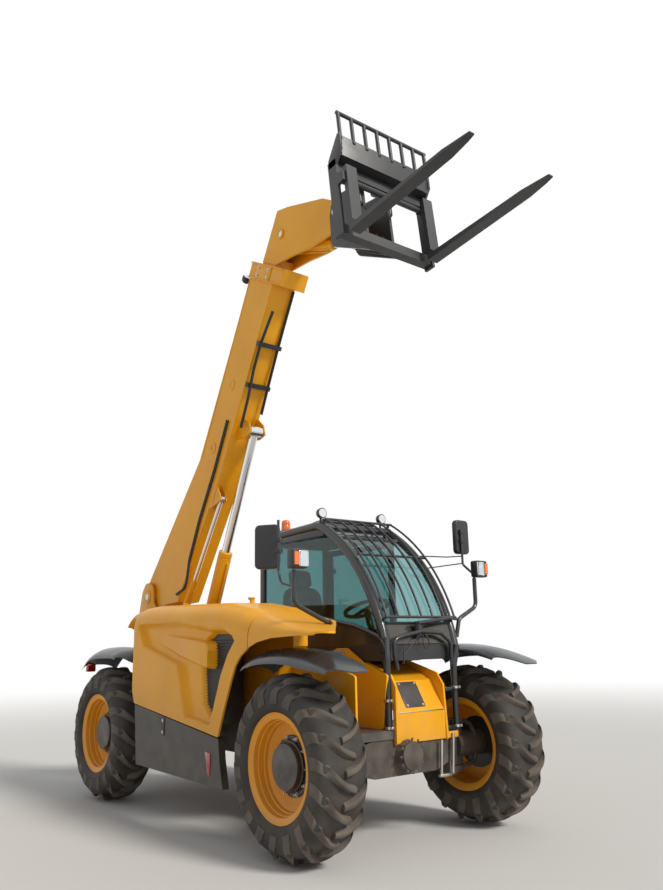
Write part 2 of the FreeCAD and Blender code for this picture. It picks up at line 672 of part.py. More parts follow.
def cab_base():
    """Lower tub of the cab, open at the top and at the door."""
    outer = join([box(CAB_REAR, -760, CAB_RIGHT, CAB_LEFT, CAB_FLOOR, CAB_SILL),
                  box(-760, -480, CAB_RIGHT, 330, 960, CAB_SILL),
                  box(-760, CAB_FRONT, CAB_RIGHT, CAB_LEFT, 1235, CAB_SILL)])
    w = CAB_WALL
    top = CAB_SILL + 10
    inner = join([box(CAB_REAR + w, -760 - w, CAB_RIGHT + w, CAB_LEFT - w, CAB_FLOOR + w, top),
                  box(-760 - w, -480 - w, CAB_RIGHT + w, 330 - w, 960 + w, top),
                  box(-760 - w, CAB_FRONT - w, CAB_RIGHT + w, CAB_LEFT - w, 1235 + w, top)])
    doorway = box(DOOR_REAR, -780, CAB_LEFT - 100, CAB_LEFT + 10, CAB_FLOOR + 50, top)
    upper_doorway = box(-790, DOOR_FRONT, CAB_LEFT - w - 5, CAB_LEFT + 10, 1235 + w, top)
    tub = outer.cut(inner).cut(doorway).cut(upper_doorway)
    feet = [box(x, x + 90, y, y + 90, FLOOR_TOP, CAB_FLOOR) for x in (-1520, -900) for y in (-90, 190)]
    return join([tub, hinge_lug(DOOR_HINGES[0])] + feet)


def hinge_lug(z):
    """Cab's half of a door hinge: a lug with an upright pin."""
    arm = box(DOOR_REAR - 45, DOOR_REAR - 6, CAB_LEFT, DOOR_PIN_Y + 12, z, z + 18)
    eye = upright(DOOR_REAR, DOOR_PIN_Y, z, z + 18, 13)
    return join([arm, eye, upright(DOOR_REAR, DOOR_PIN_Y, z, z + 70, DOOR_PIN_R)])


def hinge_leaf(z):
    """Door's half of a hinge: a sleeve round the pin and a leaf on the door."""
    low, high = z + 18 + SEAT_GAP, z + 68
    sleeve = upright(DOOR_REAR, DOOR_PIN_Y, low, high, 14)
    leaf = box(DOOR_REAR, DOOR_REAR + 60, CAB_LEFT, DOOR_PIN_Y + 8, low, high)
    hole = upright_bore(DOOR_REAR, DOOR_PIN_Y, z, z + 90, DOOR_PIN_R + PIN_GAP)
    return join([sleeve, leaf]).cut(hole)


def screen_points(offset):
    """Points of the curved windscreen line in X and Z, from its foot to the roof, pushed outwards by an offset."""
    start, middle, end = (75, CAB_SILL), (-200, 1935), (-660, ROOF_LOW + 30)
    x0, z0 = circle_centre(start, middle, end)
    radius = math.hypot(start[0] - x0, start[1] - z0) + offset
    first, last = (math.atan2(z - z0, x - x0) for x, z in (start, end))
    points = []
    for number in range(SCREEN_RUNS + 1):
        angle = first + (last - first) * number / SCREEN_RUNS
        points.append((x0 + radius * math.cos(angle), z0 + radius * math.sin(angle)))
    return points


def circle_centre(a, b, c):
    """Centre of the circle through three flat points."""
    d = 2 * (a[0] * (b[1] - c[1]) + b[0] * (c[1] - a[1]) + c[0] * (a[1] - b[1]))
    sa, sb, sc = (p[0] ** 2 + p[1] ** 2 for p in (a, b, c))
    x = (sa * (b[1] - c[1]) + sb * (c[1] - a[1]) + sc * (a[1] - b[1])) / d
    z = (sa * (c[0] - b[0]) + sb * (a[0] - c[0]) + sc * (b[0] - a[0])) / d
    return x, z


def curved_sheet(offset, thick, y0, y1):
    """Sheet that follows the windscreen's curve in straight runs."""
    return side_plate(screen_points(offset + thick) + screen_points(offset)[::-1], y0, y1)


def cab_frame():
    """Pillars and top rails of the cab."""
    post = 50
    pieces = []
    for y0 in (CAB_RIGHT, CAB_LEFT - post):
        y1 = y0 + post
        pieces.append(curved_sheet(-post, post, y0, y1))
        rear = [(CAB_REAR, CAB_SILL), (CAB_REAR + 60, CAB_SILL), (CAB_REAR + 60, ROOF_LOW), (CAB_REAR, ROOF_LOW)]
        pieces.append(side_plate(rear, y0, y1))
        pieces.append(box(CAB_REAR, -640, y0, y1, ROOF_LOW - 60, ROOF_LOW))
    pieces.append(box(CAB_REAR, CAB_REAR + 60, CAB_RIGHT, CAB_LEFT, ROOF_LOW - 60, ROOF_LOW))
    pieces.append(box(-560, -500, CAB_RIGHT, CAB_LEFT, ROOF_LOW - 110, ROOF_LOW - 60))
    frame = join(pieces + [hinge_lug(DOOR_HINGES[1])])
    reach = 400
    above, below = (ROOF_LOW, ROOF_LOW + reach), (CAB_SILL - reach, CAB_SILL)
    for z0, z1 in (above, below):
        frame = frame.cut(box(CAB_REAR - reach, CAB_FRONT + reach, CAB_RIGHT - reach, CAB_LEFT + reach, z0, z1))
    return frame


def cab_roof():
    """Roof cap, a little wider than the posts."""
    outline = [(CAB_REAR - 20, ROOF_LOW), (CAB_REAR - 20, ROOF_TOP - 20), (CAB_REAR + 60, ROOF_TOP), (-690, ROOF_TOP),
               (-645, ROOF_TOP - 12), (-625, ROOF_LOW)]
    return side_plate(outline, CAB_RIGHT + 10, CAB_LEFT)


def cab_glass():
    """Windscreen, right-hand and rear panes."""
    post = 50
    screen = curved_sheet(-20, GLASS, CAB_RIGHT + post, CAB_LEFT - post)
    screen = screen.common(box(-2000, 500, -500, 1000, CAB_SILL + 1, ROOF_LOW - 1))
    right = box(CAB_REAR + 60, 0, CAB_RIGHT + 20, CAB_RIGHT + 20 + GLASS, CAB_SILL, ROOF_LOW - 60)
    right = right.cut(curved_sheet(-post, 800, CAB_RIGHT, CAB_RIGHT + 60))
    rear = box(CAB_REAR + 20, CAB_REAR + 20 + GLASS, CAB_RIGHT + post, CAB_LEFT - post, CAB_SILL, ROOF_LOW - 60)
    frame = cab_frame()
    return Part.makeCompound([pane.cut(frame) for pane in (screen, right, rear)])


def cab_guard():
    """Curved bars over the windscreen, tied by two cross bars."""
    bars = []
    first, last = CAB_RIGHT + 25, CAB_LEFT - 25
    for number in range(GUARD_BARS):
        y = first + (last - first) * number / (GUARD_BARS - 1)
        bars.append(curved_sheet(52, 16, y - 8, y + 8))
    points = screen_points(60)
    (foot_x, foot_z), (next_x, next_z) = screen_points(SEAT_GAP)[:2]
    lean = (next_x - foot_x) / (next_z - foot_z)
    for x, z in (points[0], points[-1]):
        bars.append(box(x - 11, x + 11, first - 12, last + 12, z - 11, z + 11))
    for y in (first, last):
        low_x = points[0][0]
        foot = [(foot_x + lean * rise, foot_z + rise) for rise in (20, 2)]
        bars.append(side_plate(foot + [(low_x, foot_z + 2), (low_x, foot_z + 20)], y - 10, y + 10))
        top_x, top_z = points[-1]
        bars.append(box(top_x - 45, top_x - 25, y - 10, y + 10, ROOF_TOP, top_z + 6))
        bars.append(box(top_x - 45, top_x, y - 10, y + 10, top_z - 6, top_z + 6))
    return join(bars)


def seat():
    """Operator's seat with its pedestal and head restraint."""
    return join([box(-1330, -960, 60, 440, CAB_FLOOR + CAB_WALL, 1180),
                 box(-1380, -900, 20, 480, 1180, 1300),
                 side_plate([(-1420, 1300), (-1320, 1300), (-1440, 1860), (-1520, 1860)], 40, 460),
                 side_plate([(-1500, 1860), (-1450, 1860), (-1480, 2030), (-1540, 2030)], 130, 370)])


def steering_column():
    """Dash, column and steering wheel ahead of the seat."""
    middle = V(-560, 250, 1640)
    column = rod(V(-428, 250, 1275), middle, 30)
    rim_side = [(-12, 168), (12, 168), (12, 192), (-12, 192)]
    wheel = turned(rim_side, 24).fuse(box(-180, 180, -9, 9, -14, 14))
    wheel.rotate(V(0, 0, 0), X_DIR, 90)
    wheel.rotate(V(0, 0, 0), Y_DIR, -20)
    wheel.translate(middle)
    dash = box(-440, -250, 60, 460, 1260 + SEAT_GAP, 1470)
    return join([column, wheel, dash])


# Door window in X and Z
DOOR_WINDOW = ((DOOR_REAR + 60, CAB_FLOOR + 120), (-850, CAB_FLOOR + 120), (-850, 1325), (DOOR_FRONT - 60, 1325),
               (DOOR_FRONT - 60, ROOF_LOW - 120), (DOOR_REAR + 60, ROOF_LOW - 120))


def cab_door():
    """Left-hand door frame, hinged at its rear edge."""
    outline = [(DOOR_REAR + 5, CAB_FLOOR + 60), (-790, CAB_FLOOR + 60), (-790, 1265), (DOOR_FRONT - 5, 1265),
               (DOOR_FRONT - 5, ROOF_LOW - 66), (DOOR_REAR + 5, ROOF_LOW - 66)]
    y0, y1 = CAB_LEFT - DOOR_THICK, CAB_LEFT
    frame = side_plate(outline, y0, y1).cut(side_plate(DOOR_WINDOW, y0 - 5, y1 + 5))
    return join([frame] + [hinge_leaf(z) for z in DOOR_HINGES])


def door_glass():
    """Pane of the door."""
    middle = CAB_LEFT - DOOR_THICK / 2
    return side_plate(DOOR_WINDOW, middle - GLASS / 2, middle + GLASS / 2)


def front_tubes():
    """The two bent tubes ahead of the cab, with their brackets to the nose."""
    near = rod(V(92, CAB_RIGHT, FLOOR_TOP), V(92, CAB_RIGHT, CAB_SILL - 20), 24)
    y = (NOSE_LEFT + TRACK / 2 - TYRE_W / 2) / 2
    far = bent_rod([V(112, y, 712), V(112, y, 1180), V(112, y + 55, CAB_SILL - 20)], 24)
    brackets = [box(82, 136, NOSE_LEFT, y - 15, z, z + 30) for z in (720, 1000)]
    return Part.makeCompound([near, join([far] + brackets)])


def lamp_arms():
    """Bent tubes that carry the head lamps and the mirrors."""
    pieces = []
    for side, start in ((-1, V(60, -640, 1513)), (1, V(55, CAB_LEFT + 16.6, 1400))):
        y = side * 920
        arm = bent_rod([start, V(50, side * 700, 1540), V(40, y, 1640), V(40, y, 1870)], 17)
        mast = bent_rod([V(40, y, 1870), V(-60, y - side * 20, 1990), V(-60, y - side * 20, 2290)], 10)
        pieces.append(join([arm, mast]))
    return Part.makeCompound(pieces)


def head_lamps():
    """Lamp housings with a round lamp and an indicator."""
    pieces = []
    for side in (-1, 1):
        y = side * 920
        y0, y1 = sorted((y - side * 60, y + side * 70))
        body = box(57 + SEAT_GAP, 130, y0, y1, 1870, 2010)
        lens = rod(V(130, y - side * 5, 1945), V(150, y - side * 5, 1945), 50)
        pieces.append(join([body, lens]))
    return Part.makeCompound(pieces)


def mirrors():
    """Rear-view mirrors outside the cab."""
    back, front = -122, -70 - SEAT_GAP
    right = box(back, front, -1030, -830, 1895, 2215)
    left = box(back, front, 850, 1010, 2080, 2370)
    return Part.makeCompound([right, left])


def work_lamps():
    """Round lamps at the front of the roof."""
    pieces = []
    for y in (-80, 590):
        stem = upright(-740, y, ROOF_TOP, ROOF_TOP + 50, 10)
        head = rod(V(-765, y, ROOF_TOP + 85), V(-710, y, ROOF_TOP + 85), 45)
        pieces.append(join([stem, head]))
    return Part.makeCompound(pieces)


def beacon():
    """Amber beacon on the roof's right rear corner."""
    x, y = -1380, 10
    return join([upright(x, y, ROOF_TOP, ROOF_TOP + 20, 50), upright(x, y, ROOF_TOP + 20, ROOF_TOP + 115, 42)])


def tail_lamps():
    """Lamp boxes on the rear mudguards."""
    front = -WHEELBASE + REAR_CROWN[0][0] - SEAT_GAP
    return Part.makeCompound([box(front - 60, front, y0, y0 + 160, 1120, 1205) for y0 in (-1020, 860)])


def left_tank():
    """Tank and locker on the left, ahead of the rear wheel."""
    rear, front = -WHEELBASE + 780, -1660
    outline = [(rear, 420), (front, 420), (front, 1130), (rear - 70, 1130), (rear, 900)]
    return side_plate(outline, FRAME_HALF_Y, TRACK / 2 + 108)


def steps():
    """Two steps below the door."""
    side_plates = [side_plate([(x, 430), (x + 20, 430), (x + 20, CAB_FLOOR), (x, CAB_FLOOR)], 400, 640)
                   for x in (-1560, -900)]
    lower = box(-1560, -880, 640, 960, 430, 470)
    upper = box(-1560, -880, 500, 860, 640, 680)
    sides = [side_plate([(x, 430), (x + 20, 430), (x + 20, 700), (x, 700)], 640, 960) for x in (-1560, -900)]
    return join(side_plates + sides + [lower, upper])


# Side view of the outer section from its rear end, along the top and back along the bottom
OUTER_OUTLINE = ((-110, 60), (-60, 130), (20, 140), (KINK_U, -244), (OUTER_END, OUTER_TOP), (OUTER_END, OUTER_LOW),
                 (1640, OUTER_LOW), (210, -545), (-40, -140), (-110, -60))


def boom_outer():
    """Outer boom section: kinked base with its pivot hub, and the open box ahead of it."""
    y0, y1 = BOOM_Y - OUTER_HALF, BOOM_Y + OUTER_HALF
    body = boom_plate(OUTER_OUTLINE, y0, y1)
    hollow = boom_box(FLY_START - 40, OUTER_END + 10, HOLLOW_LOW, HOLLOW_TOP, y0 + OUTER_WALL, y1 - OUTER_WALL)
    body = body.cut(hollow)
    hub = boom_pin(0, 0, BAY_RIGHT + SEAT_GAP, BAY_LEFT - SEAT_GAP, PIVOT_HUB_R)
    lift_ears = boom_ears(LIFT_EYE_U, LIFT_EYE_W, LIFT_Y, LIFT_EAR_HALF, 70)
    level_ears = boom_ears(LEVEL_EYE_U, LEVEL_EYE_W, LEVEL_Y, LEVEL_EAR_HALF, 45)
    body = join([body, hub] + lift_ears + level_ears)
    return body.cut(boom_bore(0, 0, PIVOT_PIN_R + PIN_GAP))


def boom_ears(u, w, y, half, radius):
    """Two ears under the boom on both sides of a cylinder's eye."""
    ears = []
    for y0 in (y - half - EAR, y + half):
        plate = boom_plate([(u - 150, OUTER_LOW + 40), (u - radius, w), (u, w - radius), (u + radius, w),
                            (u + 110, OUTER_LOW + 40)], y0, y0 + EAR)
        ears.append(plate)
    return ears


def boom_collar():
    """Collar round the mouth of the outer section, with its wear pads."""
    y0, y1 = BOOM_Y - COLLAR_HALF, BOOM_Y + COLLAR_HALF
    outer = boom_box(COLLAR_START, COLLAR_END, COLLAR_LOW, COLLAR_TOP, y0, y1)
    around = boom_plate(OUTER_OUTLINE, BOOM_Y - OUTER_HALF, BOOM_Y + OUTER_HALF)
    mouth = boom_box(COLLAR_START - 5, COLLAR_END + 5, FLY_LOW - SEAT_GAP, FLY_TOP + SEAT_GAP,
                     BOOM_Y - FLY_HALF - SEAT_GAP, BOOM_Y + FLY_HALF + SEAT_GAP)
    return outer.cut(around).cut(mouth)


def boom_fly():
    """Inner boom section with the bent neck that carries the carriage."""
    y0, y1 = BOOM_Y - FLY_HALF, BOOM_Y + FLY_HALF
    tube = boom_box(FLY_START, NECK_START + 60, FLY_LOW, FLY_TOP, y0, y1)
    bore = boom_box(FLY_START - 5, NECK_START + 70, FLY_LOW + FLY_WALL, FLY_TOP - FLY_WALL,
                    y0 + FLY_WALL, y1 - FLY_WALL)
    tube = tube.cut(bore)
    outline = [(NECK_START, FLY_TOP), (4072, -395), (4121, -563), (4224, -1092), (4205, -1400), (4150, -1500),
               (4060, -1500), (3950, -1380), (3800, -1100), (3700, -850), (NECK_START, FLY_LOW)]
    n0, n1 = BOOM_Y - NECK_HALF, BOOM_Y + NECK_HALF
    neck = boom_plate(outline, n0, n1)
    inner = [(NECK_START - 10, FLY_TOP - CHEEK), (4050, -395 - CHEEK), (4095, -570), (4190, -1060),
             (4300, -1100), (4300, -1600), (3700, -1600), (3500, -700)]
    neck = neck.cut(boom_plate(inner, n0 + CHEEK, n1 - CHEEK))
    back = boom_box(NECK_START, NECK_START + 14, FLY_LOW, FLY_TOP, y0, y1)
    fly = join([tube, neck, back])
    fly = fly.cut(boom_bore(HINGE_U, HINGE_W, HINGE_PIN_R + PIN_GAP))
    tilt_pin = boom_pin(TILT_BASE_U, TILT_BASE_W, n0 + 2, n1 - 2, TILT_PIN_R)
    return join([fly, tilt_pin] + wear_pads())


def wear_pads():
    """Pads on the rear end of the inner section that slide in the outer one."""
    pads = []
    inner_half = OUTER_HALF - OUTER_WALL
    for w0, w1 in ((FLY_TOP, HOLLOW_TOP - SEAT_GAP), (HOLLOW_LOW + SEAT_GAP, FLY_LOW)):
        pads.append(boom_box(FLY_START, FLY_START + 120, w0, w1, BOOM_Y - 60, BOOM_Y + 60))
    for y0, y1 in ((BOOM_Y - inner_half + SEAT_GAP, BOOM_Y - FLY_HALF),
                   (BOOM_Y + FLY_HALF, BOOM_Y + inner_half - SEAT_GAP)):
        pads.append(boom_box(FLY_START, FLY_START + 120, FLY_LOW + 60, FLY_TOP - 60, y0, y1))
    return pads


def cylinder_pair(start, end, y, closed, barrel_r, rod_r, pin_r, eye_half, head_room):
    """Barrel and rod of a cylinder between two pins, drawn at its length at rest."""
    a, b = V(start[0], y, start[1]), V(end[0], y, end[1])
    axis = (b - a).normalize()
    head = closed - head_room
    eye_r = pin_r * 1.75
    barrel = rod(a + axis * eye_r * 0.6, a + axis * head, barrel_r)
    lug = cross_pin(a.x, a.z, y - eye_half, y + eye_half, eye_r)
    hole = cross_bore(a.x, a.z, y - 200, y + 200, pin_r + PIN_GAP)
    slide = rod(a + axis * (eye_r + 20), a + axis * (head + 5), rod_r + PIN_GAP)
    barrel = join([barrel, lug]).cut(hole).cut(slide)
    length = (b - a).Length
    reach = length - closed + eye_r + 40
    shaft = rod(a + axis * reach, b, rod_r)
    eye = cross_pin(b.x, b.z, y - eye_half, y + eye_half, eye_r)
    return barrel, join([shaft, eye])


def pin_distance(start, end):
    """Length between two pins in X and Z."""
    return math.hypot(end[0] - start[0], end[1] - start[1])


def lift_cylinder():
    """Main lift cylinder."""
    base = (LIFT_BASE_X, LIFT_BASE_Z)
    closed = pin_distance(base, boom_point(LIFT_EYE_U, LIFT_EYE_W, BOOM_LOW))
    return cylinder_pair(base, boom_point(LIFT_EYE_U, LIFT_EYE_W), LIFT_Y, closed,
                         LIFT_BARREL_R, LIFT_ROD_R, LIFT_PIN_R, LIFT_EAR_HALF - 8, LIFT_HEAD_ROOM)


def level_cylinder():
    """Thin cylinder beside it that keeps the forks level."""
    base = (LEVEL_BASE_X, LEVEL_BASE_Z)
    closed = pin_distance(base, boom_point(LEVEL_EYE_U, LEVEL_EYE_W, BOOM_LOW))
    return cylinder_pair(base, boom_point(LEVEL_EYE_U, LEVEL_EYE_W), LEVEL_Y, closed,
                         LEVEL_BARREL_R, LEVEL_ROD_R, LEVEL_PIN_R, LEVEL_EAR_HALF - 6, LEVEL_HEAD_ROOM)


def tilt_length(turn):
    """Length of the tilt cylinder with the carriage turned by an angle, tips up."""
    angle = math.radians(TILT_ARM_ANGLE + turn)
    u, w = HINGE_U + TILT_ARM * math.cos(angle), HINGE_W + TILT_ARM * math.sin(angle)
    return pin_distance((TILT_BASE_U, TILT_BASE_W), (u, w))


def tilt_cylinder():
    """Cylinder inside the neck that tilts the carriage."""
    start, end = boom_point(TILT_BASE_U, TILT_BASE_W), boom_point(*tilt_point())
    return cylinder_pair(start, end, BOOM_Y, tilt_length(-DUMP), TILT_BARREL_R, TILT_ROD_R, TILT_PIN_R,
                         TILT_EAR_HALF - 8, TILT_HEAD_ROOM)


def carriage():
    """Welded carriage: side posts, two fork bars, and the hitch plates at the back."""
    y0, y1 = BOOM_Y - CARRIAGE_HALF, BOOM_Y + CARRIAGE_HALF
    pieces = [fork_box(FRAME_BACK, -60, 20, 100, y0, y1), fork_box(FRAME_BACK, -60, 560, 640, y0, y1)]
    for y in (y0, y1 - POST):
        pieces.append(fork_plate([(FRAME_BACK, 0), (POST_FRONT, 0), (POST_FRONT, POST_TOP), (FRAME_BACK, POST_TOP)],
                                 y, y + POST))
    hf, hg = to_fork(*boom_point(HINGE_U, HINGE_W))
    tf, tg = to_fork(*boom_point(*tilt_point()))
    for y in (BOOM_Y - HITCH_HALF - POST, BOOM_Y + HITCH_HALF):
        pieces.append(fork_plate([(FRAME_BACK, 20), (tf - 40, tg - 50), (tf - 70, tg), (hf - 80, hg),
                                  (hf - 50, hg + 90), (hf + 60, hg + 130), (FRAME_BACK, 640)], y, y + POST))
    for y in (BOOM_Y - TILT_EAR_HALF - EAR, BOOM_Y + TILT_EAR_HALF):
        pieces.append(fork_plate([(FRAME_BACK, 25), (tf, tg - 45), (tf - 40, tg), (tf, tg + 45), (FRAME_BACK, 95)],
                                 y, y + EAR))
    return join(pieces + [hinge_pin(), fork_shaft()])


def to_fork(x, z):
    """Position of a point of the machine in the fork's axes."""
    turn = math.radians(FORK_TILT)
    heel_x, heel_z = fork_heel()
    dx, dz = x - heel_x, z - heel_z
    return dx * math.cos(turn) + dz * math.sin(turn), -dx * math.sin(turn) + dz * math.cos(turn)


def hinge_pin():
    """Hinge pin of the carriage with its spacers beside the neck."""
    ends = HITCH_HALF + POST + 5
    pin = boom_pin(HINGE_U, HINGE_W, BOOM_Y - ends, BOOM_Y + ends, HINGE_PIN_R)
    clear = NECK_HALF + SEAT_GAP
    spacers = [boom_pin(HINGE_U, HINGE_W, y, y + HITCH_HALF - clear, HINGE_PIN_R + 22)
               for y in (BOOM_Y - HITCH_HALF, BOOM_Y + clear)]
    return join([pin] + spacers)


def load_guard():
    """Upright bars above the carriage."""
    y0, y1 = BOOM_Y - CARRIAGE_HALF, BOOM_Y + CARRIAGE_HALF
    low, bar = POST_TOP, 22
    pieces = [fork_box(-110, -70, z, z + 35, y0, y1) for z in (low, GUARD_TOP - 35)]
    for number in range(GUARD_BAR_COUNT):
        y = y0 + (y1 - y0 - bar) * number / (GUARD_BAR_COUNT - 1)
        pieces.append(fork_box(-105, -75, low, GUARD_TOP, y, y + bar))
    return join(pieces)


def fork_shaft():
    """Round shaft that the forks hang on, held in two lugs."""
    x, z = fork_point(SHAFT_F, SHAFT_G)
    shaft = cross_pin(x, z, BOOM_Y - CARRIAGE_HALF, BOOM_Y + CARRIAGE_HALF, SHAFT_R)
    lug = [(POST_FRONT, SHAFT_G - 50), (20, SHAFT_G - 40), (20, SHAFT_G + 40), (POST_FRONT, SHAFT_G + 50)]
    lugs = [fork_plate(lug, y, y + POST) for y in (BOOM_Y - CARRIAGE_HALF, BOOM_Y + CARRIAGE_HALF - POST)]
    return join([shaft] + lugs)


def fork(y):
    """One pallet fork with a tapered blade, and an eye round the shaft."""
    half = FORK_WIDTH / 2
    t = FORK_THICK
    side = [(0, 0), (FORK_LENGTH - 60, 30), (FORK_LENGTH, 38), (FORK_LENGTH, 48), (t + 30, t + 6), (t, t + 40),
            (t, SHANK_TOP), (0, SHANK_TOP)]
    blade = fork_plate(side, y - half, y + half)
    tip = [(FORK_LENGTH - 220, half), (FORK_LENGTH, 22), (FORK_LENGTH, half + 1), (FORK_LENGTH - 220, half + 1)]
    turn = math.radians(FORK_TILT)
    for sign in (1, -1):
        points = []
        for f, s in tip:
            x, z = fork_point(f, -40)
            points.append(V(x, y + sign * s, z))
        up = V(-math.sin(turn), 0, math.cos(turn)) * 150
        blade = blade.cut(prism(points, up))
    x, z = fork_point(SHAFT_F, SHAFT_G)
    eye = cross_pin(x, z, y - half, y + half, SHAFT_R + 18)
    return join([blade, eye]).cut(cross_bore(x, z, y - 200, y + 200, SHAFT_R + SEAT_GAP))


def forks():
    """Pair of forks."""
    return Part.makeCompound([fork(BOOM_Y + s * FORK_SPACING / 2) for s in (-1, 1)])


CORNERS = (                 # name, axle X, side
    ("front_left", 0, 1),
    ("front_right", 0, -1),
    ("rear_left", -WHEELBASE, 1),
    ("rear_right", -WHEELBASE, -1),
)


def wheel_pieces():
    """Tyre, rim and knuckle of each corner."""
    pieces = {}
    round_tyre, round_rim, left_knuckle = tyre(), rim(), knuckle()
    for name, x, side in CORNERS:
        place = V(x, side * TRACK / 2, AXLE_Z)
        pieces["tyre_" + name] = moved(round_tyre, place)
        turned = round_rim if side > 0 else round_rim.mirror(V(0, 0, 0), Y_DIR)
        pieces["rim_" + name] = moved(turned, place)
        swivel = left_knuckle if side > 0 else left_knuckle.mirror(V(0, 0, 0), Y_DIR)
        pieces["knuckle_" + name] = moved(swivel, V(x, 0, AXLE_Z))
    return pieces


def moved(shape, by):
    """Copy of a shape, shifted."""
    copy = shape.copy()
    copy.translate(by)
    return copy


def all_pieces():
    """Every piece of the machine by its node name, in the machine's own axes."""
    lift_barrel, lift_rod = lift_cylinder()
    level_barrel, level_rod = level_cylinder()
    tilt_barrel, tilt_rod = tilt_cylinder()
    pieces = {
        "chassis_frame": chassis_frame(), "boom_bay": boom_bay(),
        "counterweight": counterweight(), "front_axle": axle(0), "rear_axle": axle(-WHEELBASE),
        "nose": nose(), "nose_cover": nose_cover(), "engine_block": engine_block(),
        "engine_pod": engine_pod(), "engine_cover": engine_cover(), "cover_vent": cover_vent(),
        "side_skirt": side_skirt(), "front_shelf": front_shelf(), "mudguards": mudguards(),
        "cab_base": cab_base(), "cab_frame": cab_frame(), "cab_roof": cab_roof(), "cab_glass": cab_glass(),
        "screen_guard": cab_guard(), "seat": seat(), "steering_column": steering_column(),
        "door_frame": cab_door(), "door_glass": door_glass(), "front_tubes": front_tubes(),
        "lamp_arms": lamp_arms(), "head_lamps": head_lamps(), "mirrors": mirrors(),
        "work_lamps": work_lamps(), "beacon": beacon(), "tail_lamps": tail_lamps(),
        "left_tank": left_tank(), "steps": steps(),
        "boom_outer": boom_outer(), "boom_collar": boom_collar(), "boom_fly": boom_fly(),
        "carriage_frame": carriage(), "load_guard": load_guard(), "forks": forks(),
        "lift_barrel": lift_barrel, "lift_rod": lift_rod, "level_barrel": level_barrel,
        "level_rod": level_rod, "tilt_barrel": tilt_barrel, "tilt_rod": tilt_rod,
    }
    pieces.update(wheel_pieces())
    return pieces


def row_shift():
    """How far the machine is moved along X to centre it."""
    tip = max(fork_point(FORK_LENGTH, 38)[0], fork_point(FORK_LENGTH, 48)[0])
    return V(-(WEIGHT_REAR + tip) / 2, 0, 0)


def main():
    """Write one file per piece."""
    os.makedirs("parts", exist_ok=True)
    shift = row_shift()
    for name, shape in all_pieces().items():
        moved(shape, shift).exportStep("parts/" + name + ".step")


if __name__ == "__main__":
    main()
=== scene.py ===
# %% [markdown]
# # A telehandler with its boom raised
#
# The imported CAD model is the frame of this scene. Its solids already have the right size and
# joints, so each cell below either gives one of them a finish, or builds a finer skin that
# stands in its place: moulded panels, lugged tyres, tubes, lamps and hoses.

# %% Load the frame
import math

import bmesh
import bpy
import numpy as np
from mathutils import Matrix, Vector


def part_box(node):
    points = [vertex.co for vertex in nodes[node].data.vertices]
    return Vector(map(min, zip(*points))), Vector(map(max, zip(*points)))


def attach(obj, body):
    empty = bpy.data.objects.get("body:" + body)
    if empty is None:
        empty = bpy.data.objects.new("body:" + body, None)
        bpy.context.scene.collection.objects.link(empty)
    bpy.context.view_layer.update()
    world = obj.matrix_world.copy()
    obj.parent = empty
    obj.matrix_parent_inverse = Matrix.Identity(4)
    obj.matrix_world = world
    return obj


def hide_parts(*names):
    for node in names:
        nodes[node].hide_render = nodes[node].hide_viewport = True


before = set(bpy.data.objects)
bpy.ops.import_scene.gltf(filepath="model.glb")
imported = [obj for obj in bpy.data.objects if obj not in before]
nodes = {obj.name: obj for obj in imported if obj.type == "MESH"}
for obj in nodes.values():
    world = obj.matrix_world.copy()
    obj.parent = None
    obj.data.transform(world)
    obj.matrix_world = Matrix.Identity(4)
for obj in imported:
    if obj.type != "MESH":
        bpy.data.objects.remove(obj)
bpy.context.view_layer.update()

# %% [markdown]
# ## Axes
#
# A machine is drawn most easily from its front axle: X forward, Y to its left, Z up, with the
# origin on the ground under the axle. The frame has its origin under the middle of the whole
# machine, so every point is shifted once, when its mesh is made. The boom and the forks have
# axes of their own, because their plates are square to the boom and not to the ground.

# %% Axes of the machine, the boom and the forks
low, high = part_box("tyre_front_left")
AXLE_X = (low.x + high.x) / 2
WHEELBASE, TRACK_HALF, WHEEL_R = 2.97, 0.872, 0.59
BOOM_Y = -0.30                          # middle plane of the boom
PIVOT = np.array([-3.2066, 1.8585])     # boom hinge, in side view
BOOM_ANGLE = math.radians(61.4)
HINGE = (4.118, -1.406)                 # carriage hinge, in the boom's axes
HEEL = np.array([0.535, 4.295])         # heel of the forks, in side view
FORK_ANGLE = math.radians(6.7)


def join_axes(*axes):
    """Points from their coordinates, each of them a number or an array."""
    return np.stack(np.broadcast_arrays(*axes), -1).astype(float)


def side(a, b, t):
    """Side view: a is X, b is Z, t is Y."""
    return join_axes(a, t, b)


def front(a, b, t):
    """Front view: a is Y, b is Z, t is X."""
    return join_axes(t, a, b)


def plan(a, b, t):
    """View from above: a is X, b is Y, t is Z."""
    return join_axes(a, b, t)


def turned_axes(origin, angle):
    """Side view in axes turned about Y: a runs along them, b square to them, t is Y."""
    cos, sin = math.cos(angle), math.sin(angle)

    def place(a, b, t):
        """Point in these axes."""
        return join_axes(origin[0] + a * cos - b * sin, t, origin[1] + a * sin + b * cos)
    return place


boom = turned_axes(PIVOT, BOOM_ANGLE)
fork = turned_axes(HEEL, FORK_ANGLE)
print("front axle at", round(AXLE_X, 4), "and carriage hinge at", boom(*HINGE, BOOM_Y).round(3))

# %% [markdown]
# ## Surfaces
#
# Every new piece is one or more surfaces worked out as whole arrays of points. A surface is a
# grid of rings, and its faces join each point to its neighbours. Blender's own cubes and
# cylinders would need many edits before they fit measured points. Three shapes cover most of a
# machine: a profile turned about an axis, a profile carried along a path, and a flat outline
# given a thickness with a rounded edge.

# %% Grids and shells


def unit(v):
    """Vectors with length one."""
    return v / np.maximum(np.linalg.norm(v, axis=-1, keepdims=True), 1e-12)


